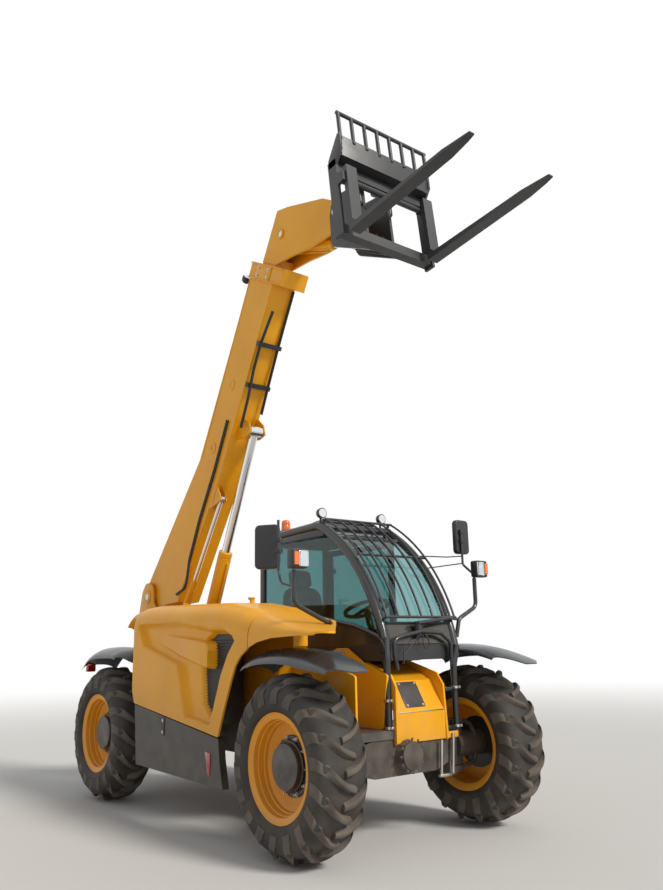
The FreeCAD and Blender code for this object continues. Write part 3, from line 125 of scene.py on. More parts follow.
def quads(index):
    """Four-sided faces between the neighbours of a grid of point numbers."""
    corners = index[:-1, :-1], index[1:, :-1], index[1:, 1:], index[:-1, 1:]
    return np.stack(corners, -1).reshape(-1, 4)


def skin(rings, loop=False):
    """Closed tube through rings of points, with flat ends or joined end to end in a loop."""
    n, k = rings.shape[:2]
    index = np.arange(n * k).reshape(n, k)
    rows = np.vstack([index, index[:1]]) if loop else index
    faces = [quads(np.hstack([rows, rows[:, :1]]))]
    if not loop:
        faces += [index[:1, ::-1], index[-1:]]
    return rings.reshape(-1, 3), faces


def shell(outer, inner):
    """Closed plate between two grids of the same size, joined round their borders."""
    n, k = outer.shape[:2]
    o = np.arange(n * k).reshape(n, k)
    i = o + n * k
    faces = [quads(o), quads(i)]
    for a, b in ((o[0], i[0]), (o[-1], i[-1]), (o[:, 0], i[:, 0]), (o[:, -1], i[:, -1])):
        faces.append(quads(np.stack([a, b])))
    return np.concatenate([outer.reshape(-1, 3), inner.reshape(-1, 3)]), faces


print("a grid of 4 by 3 points has", len(quads(np.arange(12).reshape(4, 3))), "faces")

# %% Turned pieces
CORE_R = 0.0005         # a turned solid closes on a ring this small, not on one point
STRAIGHT = 1.55         # half the angle at a corner that is all but straight


def circle(across, other, sides):
    """Ring of directions in the plane of two unit vectors."""
    turn = np.linspace(0, 2 * np.pi, sides, endpoint=False)[:, None]
    return np.cos(turn) * across + np.sin(turn) * other


def lathe(profile, centre, axis, sides=64, loop=False):
    """Profile of (distance along the axis, radius), turned about the axis through the centre."""
    along, radius = np.array(profile, float).T[:, :, None, None]
    axis = unit(np.array(axis, float))
    helper = (0, 0, 1.0) if abs(axis[2]) < 0.9 else (1.0, 0, 0)
    across = unit(np.cross(axis, helper))
    around = circle(across, np.cross(axis, across), sides)
    return skin(np.array(centre, float) + along * axis + radius * around, loop)


def solid(profile, centre, axis, sides=40):
    """Turned solid: the profile, closed towards the axis at both ends."""
    ends = [(profile[i][0], CORE_R) for i in (0, -1)]
    return lathe([ends[0], *profile, ends[1]], centre, axis, sides)


def sleeve(centre, axis, inner, outer, start, end, sides):
    """Plain ring round an axis, from one distance along it to another."""
    profile = [(start, inner), (start, outer), (end, outer), (end, inner)]
    return lathe(profile, centre, axis, sides, loop=True)


def pin(place, axis, radius, length, bevel=0.001, sides=24):
    """Short round bar from a place along an axis, its far edge broken."""
    profile = [(0, radius), (length - bevel, radius), (length, radius - bevel)]
    return solid(profile, place, axis, sides)


def hex_bolt(place, axis, radius=0.009, height=0.007):
    """Hexagon head on a washer."""
    washer = [(0, radius * 1.5), (0.002, radius * 1.5)]
    head = [(0.002, radius), (height - 0.001, radius), (height, radius * 0.85)]
    return [solid(washer, place, axis, 20), solid(head, place, axis, 6)]


print("a pin has", len(pin((0, 0, 0), (0, 0, 1), 0.01, 0.02)[0]), "points")

# %% Bars along a path


def rounded(corners, bend, steps=6):
    """Straight runs through the corners, with an arc of radius bend at each inner corner."""
    corners = np.array(corners, float)
    path = [corners[0]]
    for before, here, after in zip(corners, corners[1:], corners[2:]):
        a, b = unit(before - here), unit(after - here)
        half = math.acos(np.clip(a @ b, -1, 1)) / 2
        if half > STRAIGHT:
            path.append(here)
            continue
        longest = 0.48 * min(np.linalg.norm(before - here), np.linalg.norm(after - here))
        reach = min(bend / math.tan(half), longest)
        radius = reach * math.tan(half)
        centre = here + unit(a + b) * (reach / math.cos(half))
        start, end = unit(here + a * reach - centre), unit(here + b * reach - centre)
        sweep = math.acos(np.clip(start @ end, -1, 1))
        for share in np.linspace(0, 1, steps + 1):
            mix = math.sin((1 - share) * sweep) * start + math.sin(share * sweep) * end
            path.append(centre + radius * mix / math.sin(sweep))
    path.append(corners[-1])
    return np.array(path)


def tube(corners, radius, bend=0.06, sides=16, steps=6):
    """Round bar along a path with rounded bends; its ring is carried without twist."""
    path = rounded(corners, bend, steps) if bend else np.array(corners, float)
    ahead = unit(np.gradient(path, axis=0))
    across = unit(np.cross(ahead[0], np.eye(3)[np.argmin(abs(ahead[0]))]))
    rings = []
    for point, along in zip(path, ahead):
        across = unit(across - along * (across @ along))
        rings.append(point + radius * circle(across, np.cross(along, across), sides))
    return skin(np.array(rings))


# %% Flat outlines and plates


def oblong(a0, a1, b0, b1):
    """The four corners of a rectangle in a flat view."""
    return [(a0, b0), (a1, b0), (a1, b1), (a0, b1)]


def inset(outline, distance):
    """Closed flat outline drawn in by a distance, along the mitre at each corner."""
    edge = unit(np.roll(outline, -1, 0) - outline)
    x, y = outline.T
    area = np.sum(x * np.roll(y, -1) - y * np.roll(x, -1))
    normal = np.stack([-edge[:, 1], edge[:, 0]], -1) * np.sign(area)
    mitre = np.roll(normal, 1, 0) + normal
    return outline + distance * mitre / np.maximum(np.sum(mitre * normal, -1, keepdims=True), 0.35)


def soften(outline, bend, steps=4):
    """Closed flat outline with its corners rounded."""
    outline = np.array(outline, float)
    middle = (outline[0] + outline[-1]) / 2
    run = np.vstack([middle, outline, middle])
    path = rounded(np.column_stack([run, np.zeros(len(run))]), bend, steps)[:-1, :2]
    keep = np.linalg.norm(path - np.roll(path, 1, 0), axis=1) > 1e-6
    return path[keep]


def slab(outline, near, far, place, bevel=0.003, steps=2):
    """Flat outline between two planes, with a quarter-round bevel along both rims."""
    outline = np.array(outline, float)
    sign = 1 if far > near else -1
    turn = np.linspace(0, np.pi / 2, steps + 1)
    rim = list(zip(bevel * (1 - np.sin(turn)), bevel * (1 - np.cos(turn))))
    rings = [place(*inset(outline, drawn).T, near + sign * deep) for drawn, deep in rim]
    rings += [place(*inset(outline, drawn).T, far - sign * deep) for drawn, deep in rim[::-1]]
    return skin(np.array(rings))


def brick(x0, x1, y0, y1, z0, z1, bevel=0.004, steps=2):
    """Block between three pairs of planes, its upright edges and both rims rounded."""
    outline = soften(oblong(x0, x1, y0, y1), bevel * 1.5, steps)
    return slab(outline, z0, z1, plan, bevel, steps)


print("a block has", len(brick(0, 1, 0, 1, 0, 1)[0]), "points")

# %% Make a mesh of one or more surfaces
MERGE = 2e-6            # points closer than this are one


def piece(name, parts, finish, body, replaces=(), sharp=38):
    """One object from several surfaces, in the frame's axes, with its faces turned outwards."""
    points, faces, base = [], [], 0
    for part_points, blocks in parts:
        points.append(part_points)
        for block in blocks:
            faces.extend((block + base).tolist())
        base += len(part_points)
    places = np.concatenate(points) + (AXLE_X, 0, 0)
    mesh = bpy.data.meshes.new(name)
    mesh.from_pydata(places.tolist(), [], faces)
    work = bmesh.new()
    work.from_mesh(mesh)
    bmesh.ops.remove_doubles(work, verts=work.verts, dist=MERGE)
    bmesh.ops.recalc_face_normals(work, faces=work.faces)
    work.to_mesh(mesh)
    work.free()
    mesh.shade_smooth()
    mesh.set_sharp_from_angle(angle=math.radians(sharp))
    mesh.materials.append(finish)
    obj = bpy.data.objects.new(name, mesh)
    bpy.context.scene.collection.objects.link(obj)
    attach(obj, body)
    if replaces:
        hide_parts(*replaces)
    print(name, len(mesh.polygons), "faces")
    return obj


# %% [markdown]
# ## Finishes
#
# Real paint is never one colour. A broad, faint noise shifts the colour from place to place,
# a finer one varies the gloss, and a very fine one gives the orange-peel ripple of sprayed
# paint. Dust settles low down, so its share falls with height. Painted pictures would need a
# flat map of every piece. These patterns are read from object coordinates, so they need no map
# and stay on the piece when it moves.

# %% Nodes of a material


def connect(tree, node, inputs):
    """Give each named input a number, a colour or another node's output."""
    for socket, value in inputs.items():
        if isinstance(value, bpy.types.NodeSocket):
            tree.links.new(value, node.inputs[socket])
        else:
            value = (*value, 1) if isinstance(value, tuple) else value
            node.inputs[socket].default_value = value


def add(tree, kind, inputs, **settings):
    """New shader node with its settings and its inputs."""
    node = tree.nodes.new("ShaderNode" + kind)
    for setting, value in settings.items():
        setattr(node, setting, value)
    connect(tree, node, inputs)
    return node


def span(value, from_low, from_high, to_low, to_high):
    """Inputs of a Map Range node, which carries one range of numbers onto another."""
    return {"Value": value, "From Min": from_low, "From Max": from_high,
            "To Min": to_low, "To Max": to_high}


def new_material(name):
    """Material with nodes, its tree and its shader."""
    material = bpy.data.materials.new(name)
    material.use_nodes = True
    return material, material.node_tree, material.node_tree.nodes["Principled BSDF"]


# %% A finish built from noise
DUST_FROM = 0.25        # height at which the dust begins to thin out
COAT_ROUGH = 0.12


def finish(name, colour, shade, rough, metallic=0.0, patch=2.0, grain=90.0, relief=0.02, dust=0.0,
           dust_top=1.2, dust_colour=(0.30, 0.25, 0.19), rough_spread=0.12, coat=0.0, edge=0.0,
           specular=0.5):
    """Colour wandering between two tints, uneven gloss, fine relief, and dust thinning upwards."""
    material, tree, shader = new_material(name)
    place = add(tree, "TexCoord", {}).outputs["Object"]

    def noise(scale, detail):
        """Noise of a size, fixed to the piece."""
        inputs = {"Vector": place, "Scale": scale, "Detail": detail}
        return add(tree, "TexNoise", inputs).outputs["Fac"]

    def spread(*ends):
        """One range of numbers carried onto another."""
        return add(tree, "MapRange", span(*ends)).outputs["Result"]

    def blend(share, first, second):
        """Mix of two colours."""
        inputs = {"Factor": share, 6: first, 7: second}
        return add(tree, "Mix", inputs, data_type="RGBA").outputs[2]

    tint = blend(spread(noise(patch, 4), 0.35, 0.65, 0, 1), colour, shade)
    if dust:
        height = add(tree, "SeparateXYZ", {"Vector": place}).outputs["Z"]
        fall = spread(height, DUST_FROM, dust_top, dust, 0.0)
        speckle = spread(noise(7, 6), 0.35, 0.7, 0.15, 1.3)
        share = add(tree, "Math", {0: fall, 1: speckle}, operation="MULTIPLY").outputs[0]
        tint = blend(share, tint, dust_colour)
    half = rough_spread / 2
    gloss = spread(noise(patch * 3, 5), 0.3, 0.7, rough - half, rough + half)
    ripple = {"Strength": relief * 10, "Distance": 0.001, "Height": noise(grain, 3)}
    if edge:
        ripple["Normal"] = add(tree, "Bevel", {"Radius": edge}, samples=4).outputs["Normal"]
    bump = add(tree, "Bump", ripple)
    connect(tree, shader, {
        "Base Color": tint, "Roughness": gloss, "Metallic": metallic, "Coat Weight": coat,
        "Coat Roughness": COAT_ROUGH, "Specular IOR Level": specular,
        "Normal": bump.outputs["Normal"]})
    return material


# %% The finishes of this machine
YELLOW = dict(colour=(0.86, 0.395, 0.008), shade=(0.80, 0.350, 0.007), rough=0.40, relief=0.012,
              coat=0.10, dust=0.35, dust_top=1.1, specular=0.28)
yellow_paint = finish("sprayed_yellow", **YELLOW)
plate_yellow = finish("plate_yellow", edge=0.004, **YELLOW)
# The rim's paint is the body's yellow; this darker, more orange copy of it is painted shade of the
# recess inside the wheel.
rim_yellow_painted_shade = finish("rim_yellow_painted_shade", (0.86, 0.35, 0.008), (0.78, 0.31, 0.008), 0.42, relief=0.02,
                    dust=0.22, dust_top=0.9)
charcoal = finish("charcoal_paint", (0.034, 0.035, 0.038), (0.026, 0.026, 0.028), 0.40,
                  relief=0.02, dust=0.5, edge=0.003)
skirt_grey = finish("skirt_grey", (0.042, 0.036, 0.030), (0.034, 0.029, 0.024), 0.42,
                    relief=0.02, dust=0.22, dust_top=1.0)
casting = finish("bare_casting", (0.036, 0.030, 0.025), (0.024, 0.020, 0.017), 0.62,
                 relief=0.12, grain=60, dust=0.35)
tube_black = finish("tube_black", (0.022, 0.023, 0.025), (0.016, 0.017, 0.019), 0.30,
                    relief=0.01, coat=0.3)
# Black moulded plastic; the blue-grey in its colour is painted reflection of the sky.
mudguard_black_and_painted_sky = finish("moulded_mudguard_painted_sky", (0.030, 0.035, 0.044), (0.022, 0.026, 0.033), 0.30,
                        relief=0.03, grain=140, coat=0.2)
plastic = finish("black_plastic", (0.024, 0.024, 0.025), (0.017, 0.017, 0.018), 0.48,
                 relief=0.05, grain=220)
rubber = finish("tyre_rubber", (0.015, 0.014, 0.013), (0.024, 0.021, 0.018), 0.72, relief=0.10,
                grain=120, dust=0.30, dust_top=1.3, dust_colour=(0.17, 0.14, 0.11))
# The lugs are the casing's rubber, but their colour is far lighter: painted light on the lug faces,
# with dust that thins upwards on top.
lug_rubber = finish("lug_painted_light_and_dust", (0.090, 0.076, 0.062), (0.052, 0.044, 0.037), 0.80, relief=0.12,
                    grain=120, patch=5, dust=0.55, dust_top=1.5, dust_colour=(0.21, 0.17, 0.135))
chrome = finish("chrome", (0.80, 0.80, 0.80), (0.70, 0.70, 0.71), 0.12, metallic=1.0,
                relief=0.002, rough_spread=0.05)
zinc = finish("zinc_bolt", (0.62, 0.61, 0.57), (0.48, 0.46, 0.42), 0.34, metallic=1.0, relief=0.03)
hose_black = finish("hose_black", (0.018, 0.018, 0.019), (0.013, 0.013, 0.014), 0.5, relief=0.03)
vinyl = finish("seat_vinyl", (0.045, 0.047, 0.050), (0.033, 0.034, 0.036), 0.55, relief=0.10,
               grain=260)
red_lens = finish("red_lens", (0.45, 0.010, 0.008), (0.36, 0.008, 0.006), 0.12, relief=0.01,
                  coat=0.6)
amber_lens = finish("amber_lens", (0.90, 0.17, 0.010), (0.80, 0.13, 0.008), 0.14, relief=0.01,
                    coat=0.6)
print(len(bpy.data.materials), "finishes")

# %% Glass


def glass(name, colour, rough):
    """Clear pane: light passes through it, tinted, with a faint ripple."""
    material, tree, shader = new_material(name)
    place = add(tree, "TexCoord", {}).outputs["Object"]
    ripple = add(tree, "TexNoise", {"Vector": place, "Scale": 3.0}).outputs["Fac"]
    bump = add(tree, "Bump", {"Strength": 0.02, "Distance": 0.002, "Height": ripple})
    connect(tree, shader, {"Base Color": colour, "Roughness": rough, "Transmission Weight": 1.0,
                           "IOR": 1.45, "Normal": bump.outputs["Normal"]})
    return material


cab_pane = glass("tinted_pane", (0.20, 0.40, 0.40), 0.02)
clear_lens = glass("clear_lens", (0.92, 0.95, 0.96), 0.06)
print("panes", cab_pane.name, "and", clear_lens.name)

# %% [markdown]
# ## Solids that keep their own shape
#
# Flat plates, pins and bars are already right in the CAD model, and a finer skin would show
# nothing more. They only need a finish, which is put in the material slot of the node. Its
# bevel node rounds the edges in the shading, as paint does on cut plate.

# %% Finish the CAD solids
CORNERS = (("front_left", 0, 1), ("front_right", 0, -1), ("rear_left", -WHEELBASE, 1),
           ("rear_right", -WHEELBASE, -1))
KEPT = {
    plate_yellow: ("boom_outer", "boom_collar", "boom_fly", "engine_pod"),
    charcoal: ("chassis_frame", "carriage_frame", "forks", "steps", "cab_base", "door_frame"),
    skirt_grey: ("side_skirt",),
    casting: ("front_axle", "rear_axle", "counterweight", "engine_block",
              *("knuckle_" + corner for corner, _, _ in CORNERS)),
    plastic: ("steering_column",),
    cab_pane: ("door_glass",),
    vinyl: ("seat",),
}
for material, names in KEPT.items():
    for name in names:
        nodes[name].data.materials.clear()
        nodes[name].data.materials.append(material)
print(sum(len(names) for names in KEPT.values()), "solids keep their own shape")

# %% [markdown]
# ## Tyres
#
# An agricultural tyre is a smooth casing with tall slanted bars moulded on it, the two sides
# set half a pitch apart. A picture of lugs would leave the wheel's outline round, so they are
# real shapes. The casing's section is a rounded square (a superellipse), turned about the
# axle. Each lug follows that section from the middle of the tread, over the shoulder and a
# little way down the side wall, while it drifts round the wheel.

# %% Casing and lugs of a tyre
LUGS = 18                                   # on each side of the tread
CASING_R, CASING_HALF = 0.436, 0.191        # the section's middle, and half its width
CASING_UP, CASING_DOWN = 0.116, 0.122       # from there to the tread and to the bead
SQUARENESS = 3.0                            # 2 is an ellipse, more is squarer
TYRE_HALF = 0.195
RIBS = ((0.375, 0.014, 0.0022), (0.452, 0.010, 0.0018))    # radius, half width, height
LUG_HEIGHT = 0.0375
LUG_START, LUG_END = -0.10, 1.72            # angles along the section
LUG_TAPER = 0.62                            # angle over which a lug runs out
LUG_DRIFT = 0.335                           # angle round the wheel
TREAD_LIMIT = WHEEL_R - 0.0005
# Section of a lug: share of its half width, share of its height
LUG_SECTION = np.array([[-1.0, -0.10], [-0.86, 0.55], [-0.74, 0.94], [-0.60, 1.0], [0.60, 1.0],
                        [0.74, 0.94], [0.86, 0.55], [1.0, -0.10]])


def casing_point(turn):
    """Point of the section at an angle from the tread's middle: (across, radius)."""
    c, s = np.cos(turn), np.sin(turn)
    across = CASING_HALF * np.sign(s) * abs(s) ** (2 / SQUARENESS)
    rise = np.where(c > 0, CASING_UP, CASING_DOWN)
    return across, CASING_R + rise * np.sign(c) * abs(c) ** (2 / SQUARENESS)


def casing(wheel_y, outward):
    """Closed ring: the section turned about the axle, with moulding ribs on the side wall."""
    turn = np.linspace(0, 2 * np.pi, 56, endpoint=False) + 0.03
    across, radius = casing_point(turn)
    ribs = sum(high * (np.cos(np.clip((radius - at) / half, -3.14, 3.14)) + 1)
               for at, half, high in RIBS)
    across = np.clip(across + np.sign(across) * ribs, -TYRE_HALF, TYRE_HALF)
    profile = np.stack([across * outward, radius], -1)
    return lathe(profile, (0, wheel_y, WHEEL_R), (0, 1, 0), 108, loop=True)


print("radius between the lugs", CASING_R + CASING_UP)

# %% Lugs


def lug_grid(first_turn):
    """One lug in (across, radius, angle): eight points wide and sixteen steps long."""
    run = np.linspace(LUG_START, LUG_END, 16)
    across, radius = casing_point(run)
    across_2, radius_2 = casing_point(run + 1e-3)
    slope = unit(np.stack([across_2 - across, radius_2 - radius], -1))
    share = np.clip((run - LUG_START) / (LUG_END - LUG_START), 0, 1)
    drift = LUG_DRIFT * (1 - share) ** 1.45
    taper = np.clip((LUG_END - run) / LUG_TAPER, 0, 1) ** 0.6
    height = LUG_HEIGHT * taper * np.clip((run + 0.16) / 0.10, 0, 1)
    half = np.interp(share, [0, 0.15, 0.6, 1], [0.024, 0.024, 0.027, 0.034])
    width_share, height_share = LUG_SECTION.T
    wide = half[:, None] * width_share * (1.18 - 0.30 * np.clip(height_share, 0, 1))
    tall = height[:, None] * height_share - 0.004 * (height_share < 0)
    r = np.minimum(radius[:, None] + slope[:, :1] * tall, TREAD_LIMIT)
    return across[:, None] + slope[:, 1:] * tall, r, first_turn + drift[:, None] + wide / r


def lugs(wheel_y):
    """Lugs of both sides, the second side half a pitch behind the first."""
    parts = []
    pitch = 2 * np.pi / LUGS
    for hand, offset in ((1, 0.0), (-1, 0.5)):
        for number in range(LUGS):
            across, r, turn = lug_grid((number + offset) * pitch)
            y = wheel_y + hand * np.clip(across, -0.05, TYRE_HALF + 0.0003)
            parts.append(skin(join_axes(r * np.cos(turn), y, WHEEL_R - r * np.sin(turn))))
    return parts


def shifted(parts, x):
    """The same surfaces further along the machine."""
    return [(points + (x, 0, 0), faces) for points, faces in parts]


# %% [markdown]
# ## Rims
#
# The rim is a rolled steel barrel with a lip, a bead seat and a stepped well, welded to a
# dished disc. The hub's planetary housing is a black drum that stands out of the disc, with
# a flat grey cover, inside a ring of wheel nuts. All of it is round about the axle, so each
# part is one profile turned on a lathe, and its steps are numbers in a table.

# %% Rim, hub and wheel nuts
RIM_PROFILE = ((-0.165, 0.345), (-0.162, 0.3415), (-0.160, 0.334), (-0.151, 0.312),
               (-0.148, 0.3085), (0.148, 0.3085), (0.151, 0.312), (0.158, 0.340), (0.161, 0.345),
               (0.166, 0.345), (0.1675, 0.341), (0.166, 0.336), (0.160, 0.330), (0.157, 0.312),
               (0.150, 0.301), (0.118, 0.297), (0.114, 0.291), (0.076, 0.288), (0.072, 0.280),
               (0.050, 0.277), (0.038, 0.262), (0.033, 0.240), (0.032, 0.112), (0.020, 0.112),
               (0.020, 0.250), (0.030, 0.288), (-0.140, 0.292), (-0.150, 0.304), (-0.160, 0.331))
HUB_PROFILE = ((0.018, 0.02), (0.018, 0.194), (0.040, 0.194), (0.044, 0.190), (0.044, 0.166),
               (0.050, 0.161), (0.068, 0.160), (0.072, 0.152), (0.098, 0.150), (0.104, 0.146))
COVER_PROFILE = ((0.1045, 0.146), (0.1065, 0.144), (0.1075, 0.140), (0.1075, 0.001))
NUTS, NUT_CIRCLE, NUT_R, NUT_HEIGHT = 10, 0.178, 0.011, 0.016
NUT_BASE = 0.044        # the hub's flange, from the wheel's middle plane
STUD = 0.012            # how far a stud stands out of its nut


def nuts(centre, axis_y):
    """Hexagon nuts on washers round a circle, each with its stud, facing along Y."""
    washer = [(0, NUT_R * 1.35), (0.003, NUT_R * 1.3)]
    nut = [(0.003, NUT_R), (NUT_HEIGHT - 0.002, NUT_R), (NUT_HEIGHT, NUT_R * 0.82)]
    stud = [(NUT_HEIGHT, NUT_R * 0.42), (NUT_HEIGHT + STUD, NUT_R * 0.42)]
    parts = []
    for turn in np.linspace(0, 2 * np.pi, NUTS, endpoint=False):
        spot = np.array(centre) + (NUT_CIRCLE * math.cos(turn), axis_y * NUT_BASE,
                                   NUT_CIRCLE * math.sin(turn))
        for profile, sides in ((washer, 12), (nut, 6), (stud, 8)):
            parts.append(lathe(profile, spot, (0, axis_y, 0), sides))
    return parts


def wheel(corner, x, hand):
    """The pieces of one wheel, all riding on the body that rolls."""
    body = "wheel_" + corner
    y = hand * TRACK_HALF
    centre, outward = (x, y, WHEEL_R), (0, hand, 0)
    piece("casing_" + corner, shifted([casing(y, hand)], x), rubber, body, ("tyre_" + corner,),
          50)
    piece("lugs_" + corner, shifted(lugs(y), x), lug_rubber, body, sharp=42)
    piece("barrel_" + corner, [lathe(RIM_PROFILE, centre, outward, 72, loop=True)], rim_yellow_painted_shade,
          body, ("rim_" + corner,), 30)
    piece("hub_" + corner, [lathe(HUB_PROFILE, centre, outward, 56)], tube_black, body, sharp=30)
    piece("hub_cover_" + corner, [lathe(COVER_PROFILE, centre, outward, 48)], charcoal, body,
          sharp=30)
    piece("nuts_" + corner, nuts(centre, hand), zinc, body, sharp=30)


for corner in CORNERS:
    wheel(*corner)

# %% [markdown]
# ## The moulded engine cover
#
# The cover is a large plastic panel. It could be sculpted or bent from a subdivided sheet, but
# its steps have to lie at measured places, so its side is a height field: for each point in
# side view the panel's depth is a base plane plus smooth steps at named outlines. A signed
# distance to each outline, passed through an S-curve, gives a step with a soft wall of chosen
# width. A recess sweeps forward, a blade rises out of it, and a deep slot holds the air vent.

# %% Signed distance and smooth steps


def ease(t):
    """S-curve from 0 to 1."""
    t = np.clip(t, 0, 1)
    return t * t * (3 - 2 * t)


def inside(x, z, outline):
    """Signed distance from points to a closed outline, positive inside."""
    outline = np.array(outline, float)
    nearest = np.full(x.shape, 1e9)
    within = np.zeros(x.shape, bool)
    for (ax, az), (bx, bz) in zip(outline, np.roll(outline, -1, 0)):
        dx, dz = bx - ax, bz - az
        share = np.clip(((x - ax) * dx + (z - az) * dz) / (dx * dx + dz * dz), 0, 1)
        nearest = np.minimum(nearest, np.hypot(x - ax - share * dx, z - az - share * dz))
        crosses = (az > z) != (bz > z)
        within ^= crosses & (x < ax + (z - az) * dx / (dz if abs(dz) > 1e-9 else 1e-9))
    return np.where(within, nearest, -nearest)


# %% The cover's outlines and its surface
SIDE_Y = -1.0           # the outer plane
HINGE_Y = -0.598        # where the cover ends on top
BAY_Y = -0.4605         # the boom bay's plate
TOP_LINE = ((-2.60, 1.56), (-2.55, 1.632), (-2.45, 1.682), (-2.30, 1.708), (-2.10, 1.717),
            (-0.90, 1.690), (-0.56, 1.640), (-0.42, 1.600))
LOW_LINE = ((-2.60, 1.47), (-2.585, 1.43), (-2.54, 1.36), (-2.408, 1.147), (-2.268, 0.886),
            (-0.826, 0.712), (-0.790, 0.800), (-0.727, 0.945), (-0.650, 1.109), (-0.592, 1.220),
            (-0.520, 1.290), (-0.42, 1.345))
RECESS = ((-2.262, 1.560), (-2.118, 1.359), (-1.492, 1.209), (-1.345, 0.815), (-1.107, 0.790),
          (-0.958, 0.772), (-0.912, 0.875), (-0.794, 1.146), (-0.695, 1.301), (-0.600, 1.398),
          (-0.640, 1.445), (-0.78, 1.492), (-0.96, 1.492), (-1.12, 1.515), (-1.50, 1.56))
VENT = ((-1.165, 1.20), (-1.130, 0.92), (-1.04, 0.84), (-0.962, 0.795), (-0.912, 0.875),
        (-0.794, 1.146), (-0.695, 1.301), (-0.600, 1.398), (-0.68, 1.445), (-0.82, 1.478),
        (-0.985, 1.478), (-1.085, 1.425), (-1.13, 1.33))
BLADE = ((-1.93, 1.468), (-1.753, 1.470), (-1.11, 1.414), (-1.005, 1.404), (-0.975, 1.385),
         (-0.968, 1.205), (-1.011, 1.184), (-1.067, 1.196), (-1.484, 1.274), (-1.84, 1.366))
RECESS_DEPTH, VENT_DEPTH = 0.046, 0.046
SHOULDER, SHOULDER_Y = 0.20, 0.205      # height and width of the roll along the top
WALL = 0.016            # thickness of the moulding
BULGE = 0.86            # below 1 the roll is fuller than a quarter circle


# %% The cover's surface


def read_line(x, line):
    """Height of a table of points at positions x, straight between the points."""
    return np.interp(x, *np.array(line).T)


def side_depth(x, z):
    """How far the side lies inside the outer plane at each point of the side view."""
    recess = RECESS_DEPTH * ease(inside(x, z, RECESS) / 0.036)
    slot = VENT_DEPTH * ease(inside(x, z, VENT) / 0.040)
    floor = recess + slot
    climb = RECESS_DEPTH * (1 - ease((x + 1.90) / 0.86)) - 0.004
    return floor + (climb - floor) * ease(inside(x, z, BLADE) / 0.020)


def cover_surface(x, rows_side=92, rows_corner=18, rows_top=10):
    """Grid from the lower edge up the side, round the shoulder and in over the top."""
    top, low_edge = read_line(x, TOP_LINE)[:, None], read_line(x, LOW_LINE)[:, None]
    shoulder = np.minimum(SHOULDER, 0.86 * (top - low_edge))
    z_side = low_edge + (top - shoulder - low_edge) * np.linspace(0, 1, rows_side)
    turn = np.linspace(0, np.pi / 2, rows_corner + 1)[1:]
    y_corner = SIDE_Y + SHOULDER_Y * (1 - np.cos(turn) ** BULGE)
    z_corner = top - shoulder + shoulder * np.sin(turn) ** BULGE
    start = SIDE_Y + SHOULDER_Y
    y_top = start + (BAY_Y - start) * np.linspace(0, 1, rows_top + 1)[1:]
    z = np.hstack([z_side, z_corner, np.repeat(top, rows_top, 1)])
    y = np.broadcast_to(np.hstack([np.full(rows_side, SIDE_Y), y_corner, y_top]), z.shape)
    xx = np.broadcast_to(x[:, None], z.shape)
    fade = 1 - ease((y - SIDE_Y) / 0.06)
    tail = ease((-2.30 - xx) / 0.30) * 0.16
    return side(xx, z, y + (side_depth(xx, z) + tail) * fade)


def cover_columns(start, end, count):
    """Positions along the machine, closer together by the wheel arch."""
    close = np.linspace(-0.83, -0.56, 34)
    close = close[(close > start) & (close < end)]
    return np.unique(np.concatenate([np.linspace(start, end, count), close]))


def cover_skin(start, end, y_to, count):
    """Closed shell of the moulding between two cross planes, up to a plane on top."""
    grid = cover_surface(cover_columns(start, end, count))
    last = np.where((grid[0, :, 1] <= y_to + 1e-6) | (grid[0, :, 1] < SIDE_Y))[0][-1]
    outer = grid[:, :last + 1].copy()
    outer[:, -1, 1] = np.maximum(outer[:, -1, 1], y_to)
    inner = outer.copy()
    inner[..., 1] += np.where(outer[..., 1] < HINGE_Y - 0.15, WALL, 0.0)
    inner[..., 2] -= np.where(outer[..., 1] > SIDE_Y + 0.12, WALL, 0.0)
    return shell(outer, inner)


piece("moulded_cover", [cover_skin(-2.60, -0.427, HINGE_Y, 190)], yellow_paint, "cover",
      ("engine_cover",), 60)

# %% [markdown]
# ## The air vent
#
# Behind the blade the cover is open, and a black moulded grille closes the opening. A picture
# of slats would look flat from the side, so it is a slab with the same outline, with thin
# slats across it. Each slat is cut where its height crosses the outline.

# %% Vent grille
GRILLE = ((-1.150, 1.20), (-1.118, 0.925), (-1.035, 0.85), (-0.962, 0.806), (-0.902, 0.885),
          (-0.784, 1.156), (-0.690, 1.311), (-0.612, 1.392), (-0.69, 1.432), (-0.82, 1.462),
          (-0.98, 1.462), (-1.07, 1.415), (-1.115, 1.33))
SLAT_PITCH, SLAT_MARGIN = 0.022, 0.012


def grille_parts():
    """Backing plate and slats, each slat cut to the outline's width at its height."""
    parts = [slab(soften(GRILLE, 0.03), SIDE_Y + 0.094, SIDE_Y + 0.080, side, 0.004)]
    outline = np.array(GRILLE)
    for z in np.arange(0.86, 1.43, SLAT_PITCH):
        ends = [ax + (z - az) * (bx - ax) / (bz - az)
                for (ax, az), (bx, bz) in zip(outline, np.roll(outline, -1, 0))
                if (az > z) != (bz > z)]
        slat = oblong(min(ends) + SLAT_MARGIN, max(ends) - SLAT_MARGIN, z - 0.004, z + 0.003)
        parts.append(slab(slat, SIDE_Y + 0.082, SIDE_Y + 0.070, side, 0.0015, 1))
    return parts


piece("vent_grille", grille_parts(), plastic, "cover", ("cover_vent",))

# %% [markdown]
# ## The shelf over the front wheel
#
# Ahead of a narrow groove the moulding goes on as a shelf that tapers to a rounded tip. Its
# shoulder gets smaller as the side gets lower, so the broad roll of the hood fades into a
# thin lip. The front edge slants. Cutting a longer shelf to it would leave uneven faces, so
# the whole grid is drawn back to that edge, row by row.

